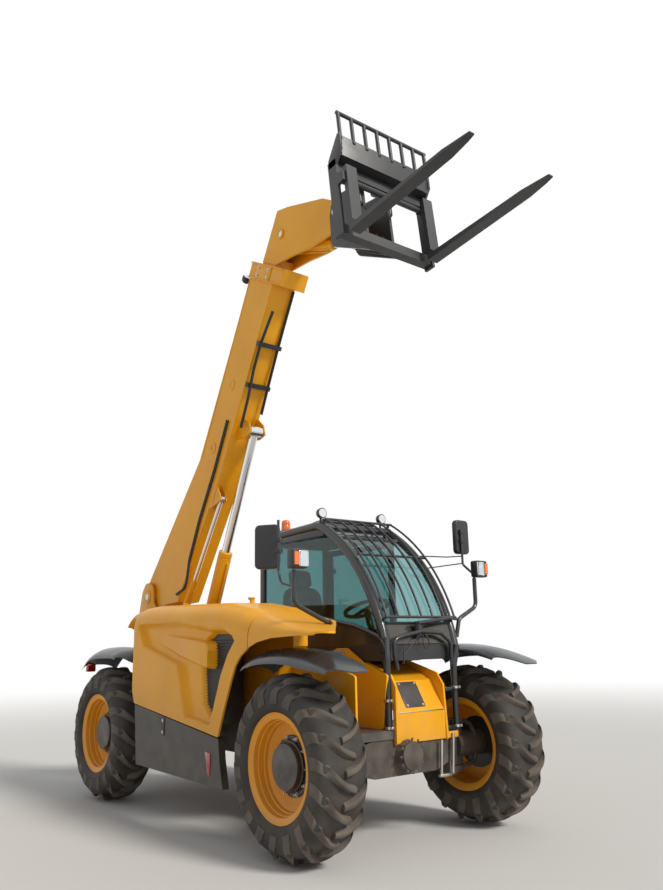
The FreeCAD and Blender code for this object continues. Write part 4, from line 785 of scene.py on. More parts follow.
# %% Shelf
SHELF_TOP = ((-0.417, 1.599), (-0.2, 1.552), (0.04, 1.502), (0.30, 1.464), (0.47, 1.445),
             (0.50, 1.437))
SHELF_LOW = ((-0.417, 1.347), (-0.307, 1.385), (-0.126, 1.412), (0.171, 1.424), (0.50, 1.420))
SHELF_EDGE = ((-1.0, 0.30), (-0.975, 0.40), (-0.94, 0.445), (-0.89, 0.455), (-0.70, 0.20),
              (BAY_Y, -0.08))       # Y, and X of the front edge there
SHELF_START, SHELF_LENGTH = -0.417, 0.872
ROWS = [10, 14, 12]     # rows up the side, round the shoulder and across the top


def shelf_skin(x, drop):
    """Y and Z of the skin at positions x, a row for each part of the section in turn."""
    top = read_line(x, SHELF_TOP) - drop
    low_edge = read_line(x, SHELF_LOW) + drop * 0.2
    y_out = SIDE_Y + drop
    shoulder_z = np.minimum(SHOULDER, 0.86 * (top - low_edge))
    shoulder_y = np.minimum(SHOULDER_Y, 0.05 + shoulder_z)
    start = y_out + shoulder_y
    kind = np.repeat([0, 1, 2], ROWS)
    share = np.hstack([np.linspace(0, 1, 10), np.linspace(0, np.pi / 2, 15)[1:],
                       np.linspace(0, 1, 13)[1:]])
    roll = 1 - np.maximum(np.cos(share), 0) ** BULGE
    lift = np.maximum(np.sin(share), 0) ** BULGE
    z = np.where(kind == 0, low_edge + (top - shoulder_z - low_edge) * share,
                 np.where(kind == 1, top - shoulder_z + shoulder_z * lift, top))
    y = np.where(kind == 0, y_out,
                 np.where(kind == 1, y_out + shoulder_y * roll,
                          start + (BAY_Y - drop - start) * share))
    return y, z


def shelf_grid(drop):
    """Upper skin or underside of the shelf, drawn back to the slanting front edge."""
    along = np.sin(np.linspace(0, np.pi / 2, 60))[:, None] * SHELF_LENGTH
    y, _ = shelf_skin(SHELF_START + along, drop)
    edge = read_line(y, SHELF_EDGE)
    x = SHELF_START + along * (edge - SHELF_START) / SHELF_LENGTH
    y, z = shelf_skin(x, drop)
    return side(x, z, y)


piece("wheel_shelf", [shell(shelf_grid(0), shelf_grid(0.014))], yellow_paint, "chassis",
      ("front_shelf",), 50)

# %% [markdown]
# ## Mudguards
#
# Each mudguard is a thin moulded arch over a wheel. A bent plate would be flat across, and the
# real ones are crowned: a curve along the wheel is carried across it, with the edges drooping
# by a power of the distance from the crown. The rear end narrows to a point on the outer side,
# and the outer edge hangs lower in front.

# %% Mudguard surface
CROWN = ((-0.60, 1.215), (-0.50, 1.262), (-0.352, 1.319), (-0.20, 1.340), (-0.085, 1.345),
         (0.145, 1.334), (0.345, 1.300), (0.47, 1.264), (0.60, 1.214), (0.634, 1.198))
REAR_CROWN = ((-0.52, 1.20), (-0.30, 1.33), (-0.05, 1.362), (0.18, 1.35), (0.34, 1.30),
              (0.43, 1.225))
GUARD_IN, GUARD_EDGE = 0.655, 1.040     # the inner and the outer edge
GUARD_THICK = 0.008
REACH_OUT = 0.86                        # how far out the bracket under a mudguard goes


def smooth_line(points, at):
    """A table of points read along one axis through a smooth cubic between them."""
    x, z = np.array(points, float).T
    slope = np.gradient(z, x)
    i = np.clip(np.searchsorted(x, at) - 1, 0, len(x) - 2)
    h = x[i + 1] - x[i]
    t = (at - x[i]) / h
    return ((2 * t**3 - 3 * t**2 + 1) * z[i] + (t**3 - 2 * t**2 + t) * h * slope[i]
            + (-2 * t**3 + 3 * t**2) * z[i + 1] + (t**3 - t**2) * h * slope[i + 1])


def mudguard(axle, hand, crown, cut_back):
    """Shell over one wheel: stations along it, and a crowned section across it."""
    start, end = crown[0][0], crown[-1][0]
    run = np.linspace(start, end, 44)[:, None]
    across = np.linspace(-1, 1, 25)
    middle = (GUARD_IN + GUARD_EDGE) / 2 - 0.02
    y = middle + across * np.where(across > 0, GUARD_EDGE - middle, middle - GUARD_IN)
    cut = ease((across - 0.1) / 0.9)
    x = run + cut * cut_back * ease((0.15 - (run - start)) / 0.15)
    corner = np.where(across > 0, 0.110, 0.230) * ease((abs(across) - 0.25) / 0.75)
    x = x - corner * ease((run - end + 0.35) / 0.35)
    depth = np.where(across > 0, 0.085 - 0.050 * ease((x - end + 0.40) / 0.40), 0.045)
    edge_low = ease((abs(across) - 0.93) / 0.07) * 0.010
    z = smooth_line(crown, np.clip(x, start, end)) - depth * abs(across) ** 2.6 - edge_low
    outer = side(x + axle, z, hand * y)
    return shell(outer, outer - (0, 0, GUARD_THICK))


guards = []
for axle, hand, crown, cut_back, bracket_y, top in (
        (0, 1, CROWN, 0.215, 0.64, 1.318), (0, -1, CROWN, 0.215, -0.46, 1.318),
        (-WHEELBASE, 1, REAR_CROWN, 0.07, -0.14, 1.335),
        (-WHEELBASE, -1, REAR_CROWN, 0.07, -0.46, 1.335)):
    guards.append(mudguard(axle, hand, crown, cut_back))
    near, far = sorted((bracket_y, hand * REACH_OUT))
    guards.append(brick(axle - 0.03, axle + 0.03, near, far, top - 0.02, top))
piece("mudguard_shells", guards, mudguard_black_and_painted_sky, "chassis", ("mudguards",), 40)

# %% [markdown]
# ## The cab
#
# The windscreen is one curved pane. In side view it follows a circle through three points, from
# the sill up and over to the roof. Pillars, pane and guard bars all run along that same curve,
# each at its own distance from it.

# %% The windscreen's curve
CAB_RIGHT, CAB_LEFT = -0.13, 0.64
CAB_REAR, CAB_SILL, ROOF_LOW, ROOF_TOP = -1.60, 1.35, 2.29, 2.35
SCREEN = np.array([(0.075, CAB_SILL), (-0.20, 1.935), (-0.66, ROOF_LOW + 0.03)])


def circle_through(a, b, c):
    """Centre of the circle through three points of the side view."""
    return np.linalg.solve(2 * np.array([b - a, c - a]), np.array([b @ b - a @ a, c @ c - a @ a]))


def screen_line(offset, start=0.0, end=1.0, steps=36):
    """Points along the windscreen in side view, pushed out, between two shares of its length."""
    centre = circle_through(*SCREEN)
    arms = SCREEN[[0, 2]] - centre
    first, last = np.arctan2(arms[:, 1], arms[:, 0])
    angle = first + (last - first) * np.linspace(start, end, steps + 1)
    return centre + (np.hypot(*arms[0]) + offset) * np.stack([np.cos(angle), np.sin(angle)], -1)


def screen_path(offset, y, start=0.0, end=1.0, steps=36):
    """The same line as a path in space."""
    x, z = screen_line(offset, start, end, steps).T
    return side(x, z, y)


def screen_sheet(offset, thick, y0, y1, start=0.0, end=1.0):
    """Sheet along the windscreen between two planes."""
    across = np.linspace(y0, y1, 9)[None, :]
    outer, inner = (screen_line(d, start, end).T for d in (offset + thick, offset))
    return shell(side(outer[0][:, None], outer[1][:, None], across),
                 side(inner[0][:, None], inner[1][:, None], across))


print("windscreen radius", np.hypot(*(SCREEN[0] - circle_through(*SCREEN))).round(3))

# %% Pillars, rails and the tubes ahead of the cab
PILLAR_R, TUBE_R = 0.039, 0.024
RAIL = ((-1.56, 1.70), (-0.96, 1.612), (-0.572, 1.547), (-0.249, 1.493), (-0.087, 1.445),
        (0.030, 1.402), (0.078, 1.34), (0.090, 1.22))
pillars = []
for y in (CAB_RIGHT + 0.022, CAB_LEFT - 0.025):
    top = [(-0.74, y, 2.325), (-0.90, y, 2.318), (CAB_REAR + 0.03, y, 2.29)]
    pillars.append(tube([(0.066, y, 1.30), *screen_path(-0.020, y, 0.06, 1.0), *top], PILLAR_R, 0))
    inner = y - 0.02 if y > 0 else y - 0.012
    pillars.append(brick(CAB_REAR, CAB_REAR + 0.06, inner - 0.008, inner + 0.042, CAB_SILL,
                         ROOF_LOW, 0.008))
    pillars.append(brick(CAB_REAR, -0.64, y - 0.022, y + 0.022, ROOF_LOW - 0.06, ROOF_LOW, 0.006))
pillars.append(brick(CAB_REAR, CAB_REAR + 0.06, CAB_RIGHT + 0.002, CAB_LEFT - 0.002,
                     ROOF_LOW - 0.06, ROOF_LOW, 0.006))
pillars.append(brick(-0.56, -0.50, CAB_RIGHT + 0.01, CAB_LEFT - 0.01, ROOF_LOW - 0.11,
                     ROOF_LOW - 0.06, 0.006))
pillars.append(brick(-1.585, -1.546, CAB_LEFT - 0.002, 0.676, 1.99, 2.008, 0.002))
pillars.append(pin((-1.54, 0.664, 1.99), (0, 0, 1), 0.013, 0.018))
pillars.append(pin((-1.54, 0.664, 1.99), (0, 0, 1), 0.008, 0.070))
piece("cab_pillars", pillars, tube_black, "chassis", ("cab_frame",), 40)

FAR_Y = 0.545
front_bars = [
    tube([(0.092, CAB_RIGHT, 0.735), (0.092, CAB_RIGHT, 1.26), (0.072, CAB_RIGHT + 0.02, 1.40)],
         0.027, 0.10),
    tube([(x, CAB_RIGHT - 0.004, z) for x, z in RAIL], 0.017, 0.08),
    tube([(0.112, FAR_Y, 0.712), (0.112, FAR_Y, 1.18), (0.112, FAR_Y + 0.045, 1.335)], TUBE_R,
         0.12),
    tube([(0.105, FAR_Y - 0.01, 1.10), (0.105, FAR_Y - 0.01, 1.36), (0.105, 0.43, 1.43),
          (0.105, 0.22, 1.445), (0.105, 0.02, 1.41), (0.105, -0.062, 1.385), (0.102, -0.060, 1.27),
          (0.095, -0.03, 1.17)], 0.016, 0.07),
]
for z in (0.72, 1.00):
    front_bars.append(brick(0.082, 0.136, 0.42, FAR_Y - 0.012, z, z + 0.03, 0.003))
piece("front_bars", front_bars, tube_black, "chassis", ("front_tubes",), 40)

clamps = []
for x, y, toward, heights in ((0.092, CAB_RIGHT, 1, (0.765, 0.952)),
                              (0.112, FAR_Y, -1, (0.735, 1.015))):
    for z in heights:
        clamps.append(sleeve((x, y, z), (0, 0, 1), 0.0275, 0.033, 0, 0.018, 32))
        for dx in (-0.040, 0.040):
            clamps += hex_bolt((x + dx, y - toward * 0.012, z + 0.009), (0, -toward, 0), 0.007)
        near, far = sorted((y - toward * 0.012, y))
        clamps.append(brick(x - 0.050, x + 0.050, near, far, z, z + 0.018, 0.002))
piece("tube_clamps", clamps, zinc, "chassis", sharp=35)

# %% Panels round the cab's foot
dark_panel = finish("cab_panel", (0.040, 0.034, 0.028), (0.030, 0.026, 0.022), 0.16, relief=0.01,
                    dust=0.3, dust_top=1.9, coat=0.5)
PANEL_SHARE = 0.13
below_rail = [(CAB_REAR + 0.01, CAB_SILL - 0.01), (0.045, CAB_SILL - 0.01), (0.024, 1.400),
              (-0.09, 1.440), (-0.249, 1.488), (-0.572, 1.542), (-0.96, 1.606),
              (CAB_REAR + 0.01, 1.698)]
foot_panels = [slab(below_rail, CAB_RIGHT + 0.002, CAB_RIGHT + 0.014, side, 0.002),
               screen_sheet(-0.012, 0.010, CAB_RIGHT + 0.06, CAB_LEFT - 0.06, 0.004, PANEL_SHARE)]
piece("foot_panels", foot_panels, dark_panel, "chassis", sharp=40)

seal_x, _, seal_z = screen_path(0.002, 0.0, PANEL_SHARE, PANEL_SHARE + 0.015, 3)[0]
seal = tube([(seal_x, CAB_RIGHT + 0.055, seal_z), (seal_x, CAB_LEFT - 0.055, seal_z)], 0.010, 0, 10)
piece("screen_seal", [seal], plastic, "chassis")

# %% Panes
right_edge = screen_line(-0.055, 0.02, 0.97, 30)
right_pane = np.vstack([right_edge[right_edge[:, 1] < ROOF_LOW - 0.062],
                        [(CAB_REAR + 0.06, ROOF_LOW - 0.062)],
                        [(CAB_REAR + 0.06, CAB_SILL + 0.002)]])
panes = [screen_sheet(-0.020, 0.006, CAB_RIGHT + 0.052, CAB_LEFT - 0.052, 0.004, 0.962),
         slab(right_pane, CAB_RIGHT + 0.020, CAB_RIGHT + 0.026, side, 0.001, 1),
         brick(CAB_REAR + 0.020, CAB_REAR + 0.026, CAB_RIGHT + 0.052, CAB_LEFT - 0.052,
               CAB_SILL + 0.002, ROOF_LOW - 0.062, 0.001, 1)]
piece("cab_panes", panes, cab_pane, "chassis", ("cab_glass",), 30)

# %% [markdown]
# ## Screen guard and roof
#
# Seven bars follow the windscreen at a fixed distance, tied by three cross bars. Bars drawn as a
# picture on the pane would not stand off it. The roof is a flat outline carried across the cab.

# %% Guard bars over the windscreen
GUARD_BARS = 7
GUARD_OUT = 0.060
GUARD_FROM = 0.15
guard = []
first_y, last_y = CAB_RIGHT + 0.025, CAB_LEFT - 0.025
for y in np.linspace(first_y, last_y, GUARD_BARS):
    guard.append(tube(screen_path(GUARD_OUT, y, GUARD_FROM), 0.009, 0, 10))
for share in (GUARD_FROM, 0.60, 1.0):
    x, z = screen_line(GUARD_OUT - 0.012 if share == 0.60 else GUARD_OUT, share, share, 1)[0]
    guard.append(tube([(x, first_y - 0.012, z), (x, last_y + 0.012, z)], 0.0105, 0, 12))
low_foot, low_seat, top_foot = (screen_line(out, share, share, 1)[0] for out, share in
                                ((GUARD_OUT, GUARD_FROM), (0.010, GUARD_FROM), (GUARD_OUT, 1)))
for y in (first_y, last_y):
    guard.append(tube([(low_seat[0], y, low_seat[1]), (low_foot[0], y, low_foot[1])], 0.009, 0, 10))
    guard.append(brick(top_foot[0] - 0.045, top_foot[0] - 0.025, y - 0.010, y + 0.010,
                       ROOF_TOP - 0.003, top_foot[1] + 0.006, 0.002))
    guard.append(brick(top_foot[0] - 0.045, top_foot[0], y - 0.010, y + 0.010, top_foot[1] - 0.006,
                       top_foot[1] + 0.006, 0.002))
piece("guard_bars", guard, charcoal, "chassis", ("screen_guard",), 40)

# %% Roof with its visor
roof_line = soften([(CAB_REAR - 0.02, ROOF_LOW), (CAB_REAR - 0.02, ROOF_TOP - 0.02),
                    (CAB_REAR + 0.06, ROOF_TOP), (-0.69, ROOF_TOP), (-0.645, ROOF_TOP - 0.012),
                    (-0.625, ROOF_LOW)], 0.015)
roof = [slab(roof_line, CAB_RIGHT + 0.01, CAB_LEFT, side, 0.012, 4)]
piece("roof_cap", roof, plastic, "chassis", ("cab_roof",), 50)
visor_line = [(-1.06, ROOF_TOP - 0.002), (-1.02, ROOF_TOP + 0.036), (-0.90, ROOF_TOP + 0.050),
              (-0.78, ROOF_TOP + 0.048), (-0.72, ROOF_TOP + 0.036), (-0.735, ROOF_TOP - 0.002)]
visor = [slab(soften(visor_line, 0.02), 0.0, CAB_LEFT - 0.13, side, 0.010, 3)]
piece("roof_visor", visor, plastic, "chassis", sharp=50)

# %% [markdown]
# ## Wiper
#
# The arm, its motor and the washer hose are thin bent bars, so the same tube helper makes them.

# %% Wiper
wiper = [tube([(0.096, 0.222, 1.425), (0.100, 0.16, 1.385), (0.106, 0.03, 1.275)], 0.004, 0.02, 8),
         tube([(0.092, 0.045, 1.36), (0.104, 0.030, 1.275), (0.108, 0.022, 1.21)], 0.005, 0.01, 8),
         pin((0.070, 0.222, 1.425), (1, 0, 0), 0.018, 0.028),
         brick(0.070, 0.094, 0.180, 0.255, 1.40, 1.52, 0.006),
         tube([(0.085, 0.25, 1.44), (0.12, 0.27, 1.40), (0.122, 0.285, 1.34), (0.118, 0.25, 1.305),
               (0.118, 0.222, 1.35), (0.10, 0.24, 1.42)], 0.0045, 0.03, 8)]
piece("wiper", wiper, hose_black, "chassis")

# %% [markdown]
# ## Head lamps and mirrors
#
# Each lamp is a moulded shell on a bent arm, with a bright reflector behind a clear lens. The two
# sides are mirror images but for the arms, so a loop makes them and picks the arm by its side.

# %% Headlamps, arms and mirrors
lamp_shell = finish("lamp_shell", (0.022, 0.022, 0.024), (0.016, 0.016, 0.018), 0.36, relief=0.03,
                    grain=200)
reflector = finish("reflector", (0.86, 0.87, 0.88), (0.72, 0.73, 0.75), 0.10, metallic=1.0,
                   relief=0.05, grain=60)
amber_glow = finish("amber_flasher", (0.95, 0.20, 0.012), (0.88, 0.16, 0.010), 0.18, relief=0.02,
                    coat=0.5)
LAMP_Y = 0.92           # middle of a head lamp, out from the machine's middle
shells = []
for hand, label in ((-1, "right"), (1, "left")):
    y = hand * LAMP_Y
    near, far = sorted((y - hand * 0.060, y + hand * 0.070))
    if hand < 0:
        mast = [(0.040, y, 1.752), (-0.100, -0.93, 1.787), (-0.131, -0.93, 1.869),
                (-0.131, -0.93, 2.236)]
    else:
        mast = [(0.040, y, 1.865), (0.040, y, 1.90), (-0.060, y - hand * 0.02, 1.99),
                (-0.060, y - hand * 0.02, 2.285)]
    start = (0.060, -0.64, 1.513) if hand < 0 else (0.055, CAB_LEFT + 0.017, 1.40)
    arms = [tube([start, (0.050, hand * 0.70, 1.54), (0.040, y, 1.64), (0.040, y, 1.87)], 0.017,
                 0.07),
            tube(mast, 0.010, 0.05, 12)]
    if hand > 0:
        arms.append(tube([(0.055, 0.66, 1.54), (0.085, 0.55, 1.548), (0.098, 0.425, 1.531),
                          (0.100, 0.19, 1.506)], 0.015, 0.06))
        arms.append(tube([(0.094, 0.20, 1.512), (0.094, 0.205, 1.42)], 0.016, 0))
        arms.append(tube([(-0.060, 0.90, 2.06), (-0.14, 0.80, 2.055), (-0.30, 0.665, 2.07),
                          (-0.32, 0.63, 2.07)], 0.005, 0.02, 8))
        arms.append(tube([(-0.060, 0.90, 2.00), (-0.14, 0.80, 1.985), (-0.22, 0.665, 1.965),
                          (-0.25, 0.63, 1.96)], 0.005, 0.02, 8))
    else:
        arms.append(tube([(0.060, -0.64, 1.513), (0.052, -0.62, 1.50)], 0.024, 0))
    piece("lamp_arm_" + label, arms, tube_black, "chassis",
          ("lamp_arms",) if hand > 0 else (), 40)
    outline = soften(oblong(near, far, 1.872, 2.008), 0.018)
    shells.append(slab(outline, 0.0575, 0.130, front, 0.010, 3))
    clear_y, amber_y = (y - hand * 0.018, y + hand * 0.044)
    lens = soften(oblong(clear_y - 0.036, clear_y + 0.036, 1.885, 1.995), 0.012)
    piece("reflector_" + label, [slab(lens, 0.125, 0.1335, front, 0.003)], reflector, "chassis")
    piece("lens_" + label, [slab(lens, 0.1345, 0.1480, front, 0.005, 3)], clear_lens, "chassis")
    amber = soften(oblong(amber_y - 0.017, amber_y + 0.017, 1.895, 1.985), 0.006)
    piece("flasher_" + label, [slab(amber, 0.127, 0.1450, front, 0.004)], amber_glow, "chassis")
piece("lamp_shells", shells, lamp_shell, "chassis", ("head_lamps",), 40)

# %% Mirrors
mirror_back, mirror_face = [], []
for (x0, y0), (x1, y1), z0, z1, mast in (((-0.163, -0.909), (-0.320, -1.013), 1.895, 2.215,
                                          (-0.131, -0.930)),
                                         ((-0.0705, 0.850), (-0.0705, 1.010), 2.080, 2.370,
                                          (-0.060, 0.900))):
    wide = math.hypot(x1 - x0, y1 - y0)
    across_x, across_y = (x1 - x0) / wide, (y1 - y0) / wide
    hand = 1 if y0 < 0 else -1

    def mirror_place(along, z, back):
        """Point of a mirror: along its width, up, and back from its front face."""
        return plan(x0 + along * across_x + hand * across_y * back,
                    y0 + along * across_y - hand * across_x * back, z)

    outline = soften(oblong(0, wide, z0, z1), 0.035)
    mirror_back.append(slab(outline, 0, 0.050, mirror_place, 0.014, 4))
    mirror_face.append(slab(inset(outline, 0.012), 0.0492, 0.0512, mirror_place, 0.0006, 1))
    foot_along = (mast[0] - x0) * across_x + (mast[1] - y0) * across_y
    foot_back = hand * ((mast[0] - x0) * across_y - (mast[1] - y0) * across_x)
    for z in ((z0 + z1) / 2 - 0.04, (z0 + z1) / 2 + 0.04):
        clamp = oblong(foot_along - 0.018, foot_along + 0.018, z - 0.016, z + 0.016)
        mirror_back.append(slab(clamp, foot_back - 0.016, 0.004, mirror_place, 0.003))
piece("mirror_housings", mirror_back, lamp_shell, "chassis", ("mirrors",), 40)
piece("mirror_faces", mirror_face, reflector, "chassis", sharp=40)

# %% [markdown]
# ## Roof lamps and beacon
#
# All of these are round, so each is a profile on a lathe. The dome has a groove near its foot,
# which a plain half sphere would not show.

# %% Roof lamps and beacon
heads, faces = [], []
for y in (-0.08, 0.59):
    heads.append(pin((-0.740, y, ROOF_TOP), (0, 0, 1), 0.010, 0.050))
    bowl = [(0, 0.026), (0.014, 0.040), (0.040, 0.045), (0.053, 0.045), (0.055, 0.043)]
    heads.append(solid(bowl, (-0.765, y, ROOF_TOP + 0.085), (1, 0, 0)))
    faces.append(lathe([(0, CORE_R), (0, 0.039), (0.0045, 0.036), (0.006, CORE_R)],
                       (-0.7105, y, ROOF_TOP + 0.085), (1, 0, 0), 36))
piece("roof_lamps", heads, lamp_shell, "chassis", ("work_lamps",), 40)
piece("roof_lamp_faces", faces, reflector, "chassis", sharp=40)
dome = [(0.020, CORE_R), (0.020, 0.041), (0.030, 0.042), (0.060, 0.0405), (0.064, 0.039),
        (0.068, 0.0405), (0.095, 0.039), (0.108, 0.033), (0.1145, 0.020), (0.115, CORE_R)]
piece("beacon_dome", [lathe(dome, (-1.38, 0.01, ROOF_TOP), (0, 0, 1), 48)], amber_lens, "chassis",
      ("beacon",), 40)
base = [(0.0, CORE_R), (0.0, 0.050), (0.014, 0.050), (0.019, 0.046), (0.020, CORE_R)]
piece("beacon_base", [lathe(base, (-1.38, 0.01, ROOF_TOP), (0, 0, 1), 48)], plastic, "chassis",
      sharp=40)

# %% [markdown]
# ## The nose ahead of the cab
#
# Two thick cheeks stand on the frame, and a folded plate runs down between them, steep at first
# and then straight down below a narrow ledge. A dark cover is screwed on the steep part. Each
# is a flat outline with a thickness, so one helper makes them all.

# %% Nose, its cover and the parts below it
SLOPE = ((0.0, 1.085), (0.118, 0.892))
near_cheek = [(-0.470, 1.225), (-0.147, 1.227), (0.035, 1.165), (0.105, 1.142), (0.158, 1.058),
              (0.155, 0.665), (0.122, 0.650), (0.122, 0.90), (-0.47, 1.02)]
far_cheek = [(-0.470, 1.225), (-0.260, 1.225), (0.060, 1.137), (0.125, 1.052), (0.150, 0.660),
             (0.122, 0.650), (0.122, 0.90), (-0.47, 1.02)]
fold = [(-0.470, 1.205), (-0.240, 1.195), SLOPE[0], SLOPE[1], (0.135, 0.870), (0.135, 0.665),
        (0.122, 0.665), (0.122, 0.862), (0.104, 0.884), (-0.012, 1.072), (-0.246, 1.181),
        (-0.470, 1.191)]
nose = [slab(soften(near_cheek, 0.02), -0.115, -0.095, side, 0.003),
        slab(soften(far_cheek, 0.02), 0.400, 0.420, side, 0.003),
        slab(fold, -0.094, 0.399, side, 0.001),
        brick(0.100, 0.142, 0.422, 0.530, 0.665, 0.710, 0.004)]
piece("nose_plates", nose, plate_yellow, "chassis", ("nose",), 30)

# %% [markdown]
# ## The boom bay
#
# Two upright plates carry the boom between the cover and the cab. They rise to the hinge at the
# back. A plate is one outline with a thickness, and both share the part of it that is alike.

# %% Plates of the boom bay
BAY_TOP = [(-2.450, 1.290), (-2.760, 1.480), (-3.072, 1.798), (-3.097, 1.948), (-3.167, 2.004),
           (-3.267, 1.994), (-3.337, 1.918), (-3.480, 1.400)]
BAY_RIGHT_LOW = [(-3.480, 1.065), (-3.250, 1.065), (-3.250, 0.760), (-2.690, 0.760),
                 (-2.690, 1.065), (-2.200, 1.065), (-2.200, 0.760), (-0.770, 0.760),
                 (-0.770, 1.065), (-0.280, 1.065), (-0.280, 0.760), (0.121, 0.760)]
BAY_FRONT = [(0.121, 1.142), (-0.147, 1.227), (-0.330, 1.330), (-0.450, 1.330), (-0.560, 1.290)]
bay = [slab(soften(BAY_FRONT + BAY_TOP + BAY_RIGHT_LOW, 0.02, 3), -0.460, -0.440, side, 0.003),
       slab(soften(BAY_FRONT + BAY_TOP + [(-3.480, 0.760), (0.060, 0.760)], 0.02, 3), -0.160,
            -0.140, side, 0.003),
       brick(-3.480, -3.460, -0.440, -0.160, 0.760, 1.300, 0.003),
       brick(-3.030, -2.930, -0.440, -0.160, 0.760, 0.960, 0.003)]
for (x, z), radius in ((PIVOT, 0.040), ((-2.500, 1.050), 0.0275), ((-2.860, 1.220), 0.0155)):
    bay.append(pin((x, -0.466, z), (0, 1, 0), radius, 0.332, 0.002, 40))
    bay.append(lathe([(0, radius), (0, radius + 0.03), (0.010, radius + 0.028), (0.010, radius)],
                     (x, -0.460, z), (0, -1, 0), 40, loop=True))
piece("bay_plates", bay, plate_yellow, "chassis", ("boom_bay",), 30)
piece("pivot_cap", [pin((PIVOT[0], -0.466, PIVOT[1]), (0, -1, 0), 0.036, 0.006, 0.002, 40)], zinc,
      "chassis", sharp=35)

# %% The lid on the nose
run = np.subtract(SLOPE[1], SLOPE[0])
slope_axes = turned_axes(SLOPE[0], math.atan2(run[1], run[0]))
slope_length = float(np.hypot(*run))


def on_slope(along, y, out):
    """Point on the sloping panel: along it, across the machine, and out of it."""
    return slope_axes(along, out, y)


lid = soften(oblong(0.012, slope_length - 0.010, 0.025, 0.222), 0.012)
piece("nose_lid", [slab(lid, 0.0005, 0.006, on_slope, 0.002)], charcoal, "chassis", ("nose_cover",))
nose_fittings = []
slope_out = on_slope(0, 0, 1) - on_slope(0, 0, 0)
for along in (0.028, slope_length - 0.026):
    for y in (0.045, 0.202):
        nose_fittings += hex_bolt(on_slope(along, y, 0.006), slope_out, 0.006, 0.006)
nose_fittings.append(brick(0.112, 0.140, -0.060, 0.390, 0.8705, 0.8760, 0.001))
for (y0, z0), (y1, z1) in (((0.332, 0.66), (0.314, 0.42)), ((0.459, 0.70), (0.436, 0.42))):
    nose_fittings.append(tube([(0.156, y0, z0), (0.156, y1, z1)], 0.011, 0, 14))
nose_fittings.append(brick(0.142, 0.170, 0.290, 0.460, 0.405, 0.425, 0.003))
piece("nose_fittings", nose_fittings, zinc, "chassis", sharp=35)

# %% [markdown]
# ## Details of the boom
#
# The boom is welded from bent plate. What shows on it up close are the beads along its corners,
# the rings round its side holes, the collar's ribs and pad bolts, a pressed pin boss on the
# neck, a work lamp, and the hoses clipped along its lower face.

# %% Beads, rings, ribs and pins of the boom
BOOM_NEAR, COLLAR_NEAR, NECK_NEAR = -0.4205, -0.4355, -0.4005


def ring(place, axis, inner, outer, height, sides=40):
    """Flat ring on a face, with a broken outer edge."""
    profile = [(0, inner), (0, outer), (height - 0.001, outer), (height, outer - 0.001),
               (height, inner)]
    return lathe(profile, place, axis, sides, loop=True)


beads = []
for y in (BOOM_NEAR, -0.1795):
    for w_start, w_end, w in ((1.62, 3.415, -0.272), (1.30, 3.415, -0.698)):
        beads.append(tube([boom(w_start, w, y), boom(w_end, w, y)], 0.005, 0, 8))
for u, w in ((2.411, -0.465), (1.771, -0.428)):
    beads.append(ring(boom(u, w, BOOM_NEAR + 0.0005), (0, -1, 0), 0.030, 0.052, 0.005))
beads.append(solid([(0, 0.029), (0.0035, 0.029)], boom(2.411, -0.465, BOOM_NEAR + 0.0005),
                   (0, -1, 0), 32))
pad_plate = oblong(3.432, 3.563, -0.640, -0.380)
beads.append(slab(soften(pad_plate, 0.012), COLLAR_NEAR, COLLAR_NEAR - 0.008, boom, 0.002))
for u in (3.424, 3.560):
    rib = oblong(u, u + 0.012, -0.846, -0.258)
    beads.append(slab(rib, COLLAR_NEAR, COLLAR_NEAR - 0.014, boom, 0.002))
piece("boom_beads", beads, plate_yellow, "boom", sharp=35)

boom_bolts = []
for u in (3.462, 3.533):
    for w in (-0.600, -0.420):
        boom_bolts += hex_bolt(boom(u, w, COLLAR_NEAR - 0.008), (0, -1, 0), 0.011, 0.010)
piece("boom_bolts", boom_bolts, zinc, "boom", sharp=35)

neck = [ring(boom(3.87, -0.57, NECK_NEAR), (0, -1, 0), 0.030, 0.048, 0.012),
        ring(boom(*HINGE, NECK_NEAR), (0, -1, 0), 0.040, 0.062, 0.008)]
piece("neck_rings", neck, plate_yellow, "fly", sharp=35)
piece("neck_cap", [pin(boom(3.87, -0.57, NECK_NEAR), (0, -1, 0), 0.0295, 0.009, 0.002, 32)], zinc,
      "fly", sharp=35)

# %% [markdown]
# ## Lamp and hoses of the boom
#
# The lamp is a turned bowl on a stalk. The hoses are fixed at both ends and clipped along their
# run, so they cannot swing: each is a tube along a path in the boom's axes, two side by side.

# %% Boom lamp
lamp_at = boom(3.41, -0.10, -0.36)
ahead = unit(boom(1, -0.35, 0) - boom(0, 0, 0))
bowl = [(-0.050, 0.024), (-0.036, 0.040), (-0.006, 0.046), (0.012, 0.046), (0.014, 0.044)]
stalk = tube([boom(3.40, -0.2715, -0.36), boom(3.40, -0.14, -0.36)], 0.010, 0, 12)
foot = slab(soften(oblong(3.37, 3.43, -0.2705, -0.262), 0.002), -0.385, -0.335, boom, 0.001)
piece("boom_lamp", [solid(bowl, lamp_at, ahead, 36), stalk, foot], lamp_shell, "boom", sharp=40)
face = [(0.0145, CORE_R), (0.0145, 0.039), (0.018, 0.037), (0.020, CORE_R)]
piece("boom_lamp_face", [lathe(face, lamp_at, ahead, 36)], reflector, "boom", sharp=40)

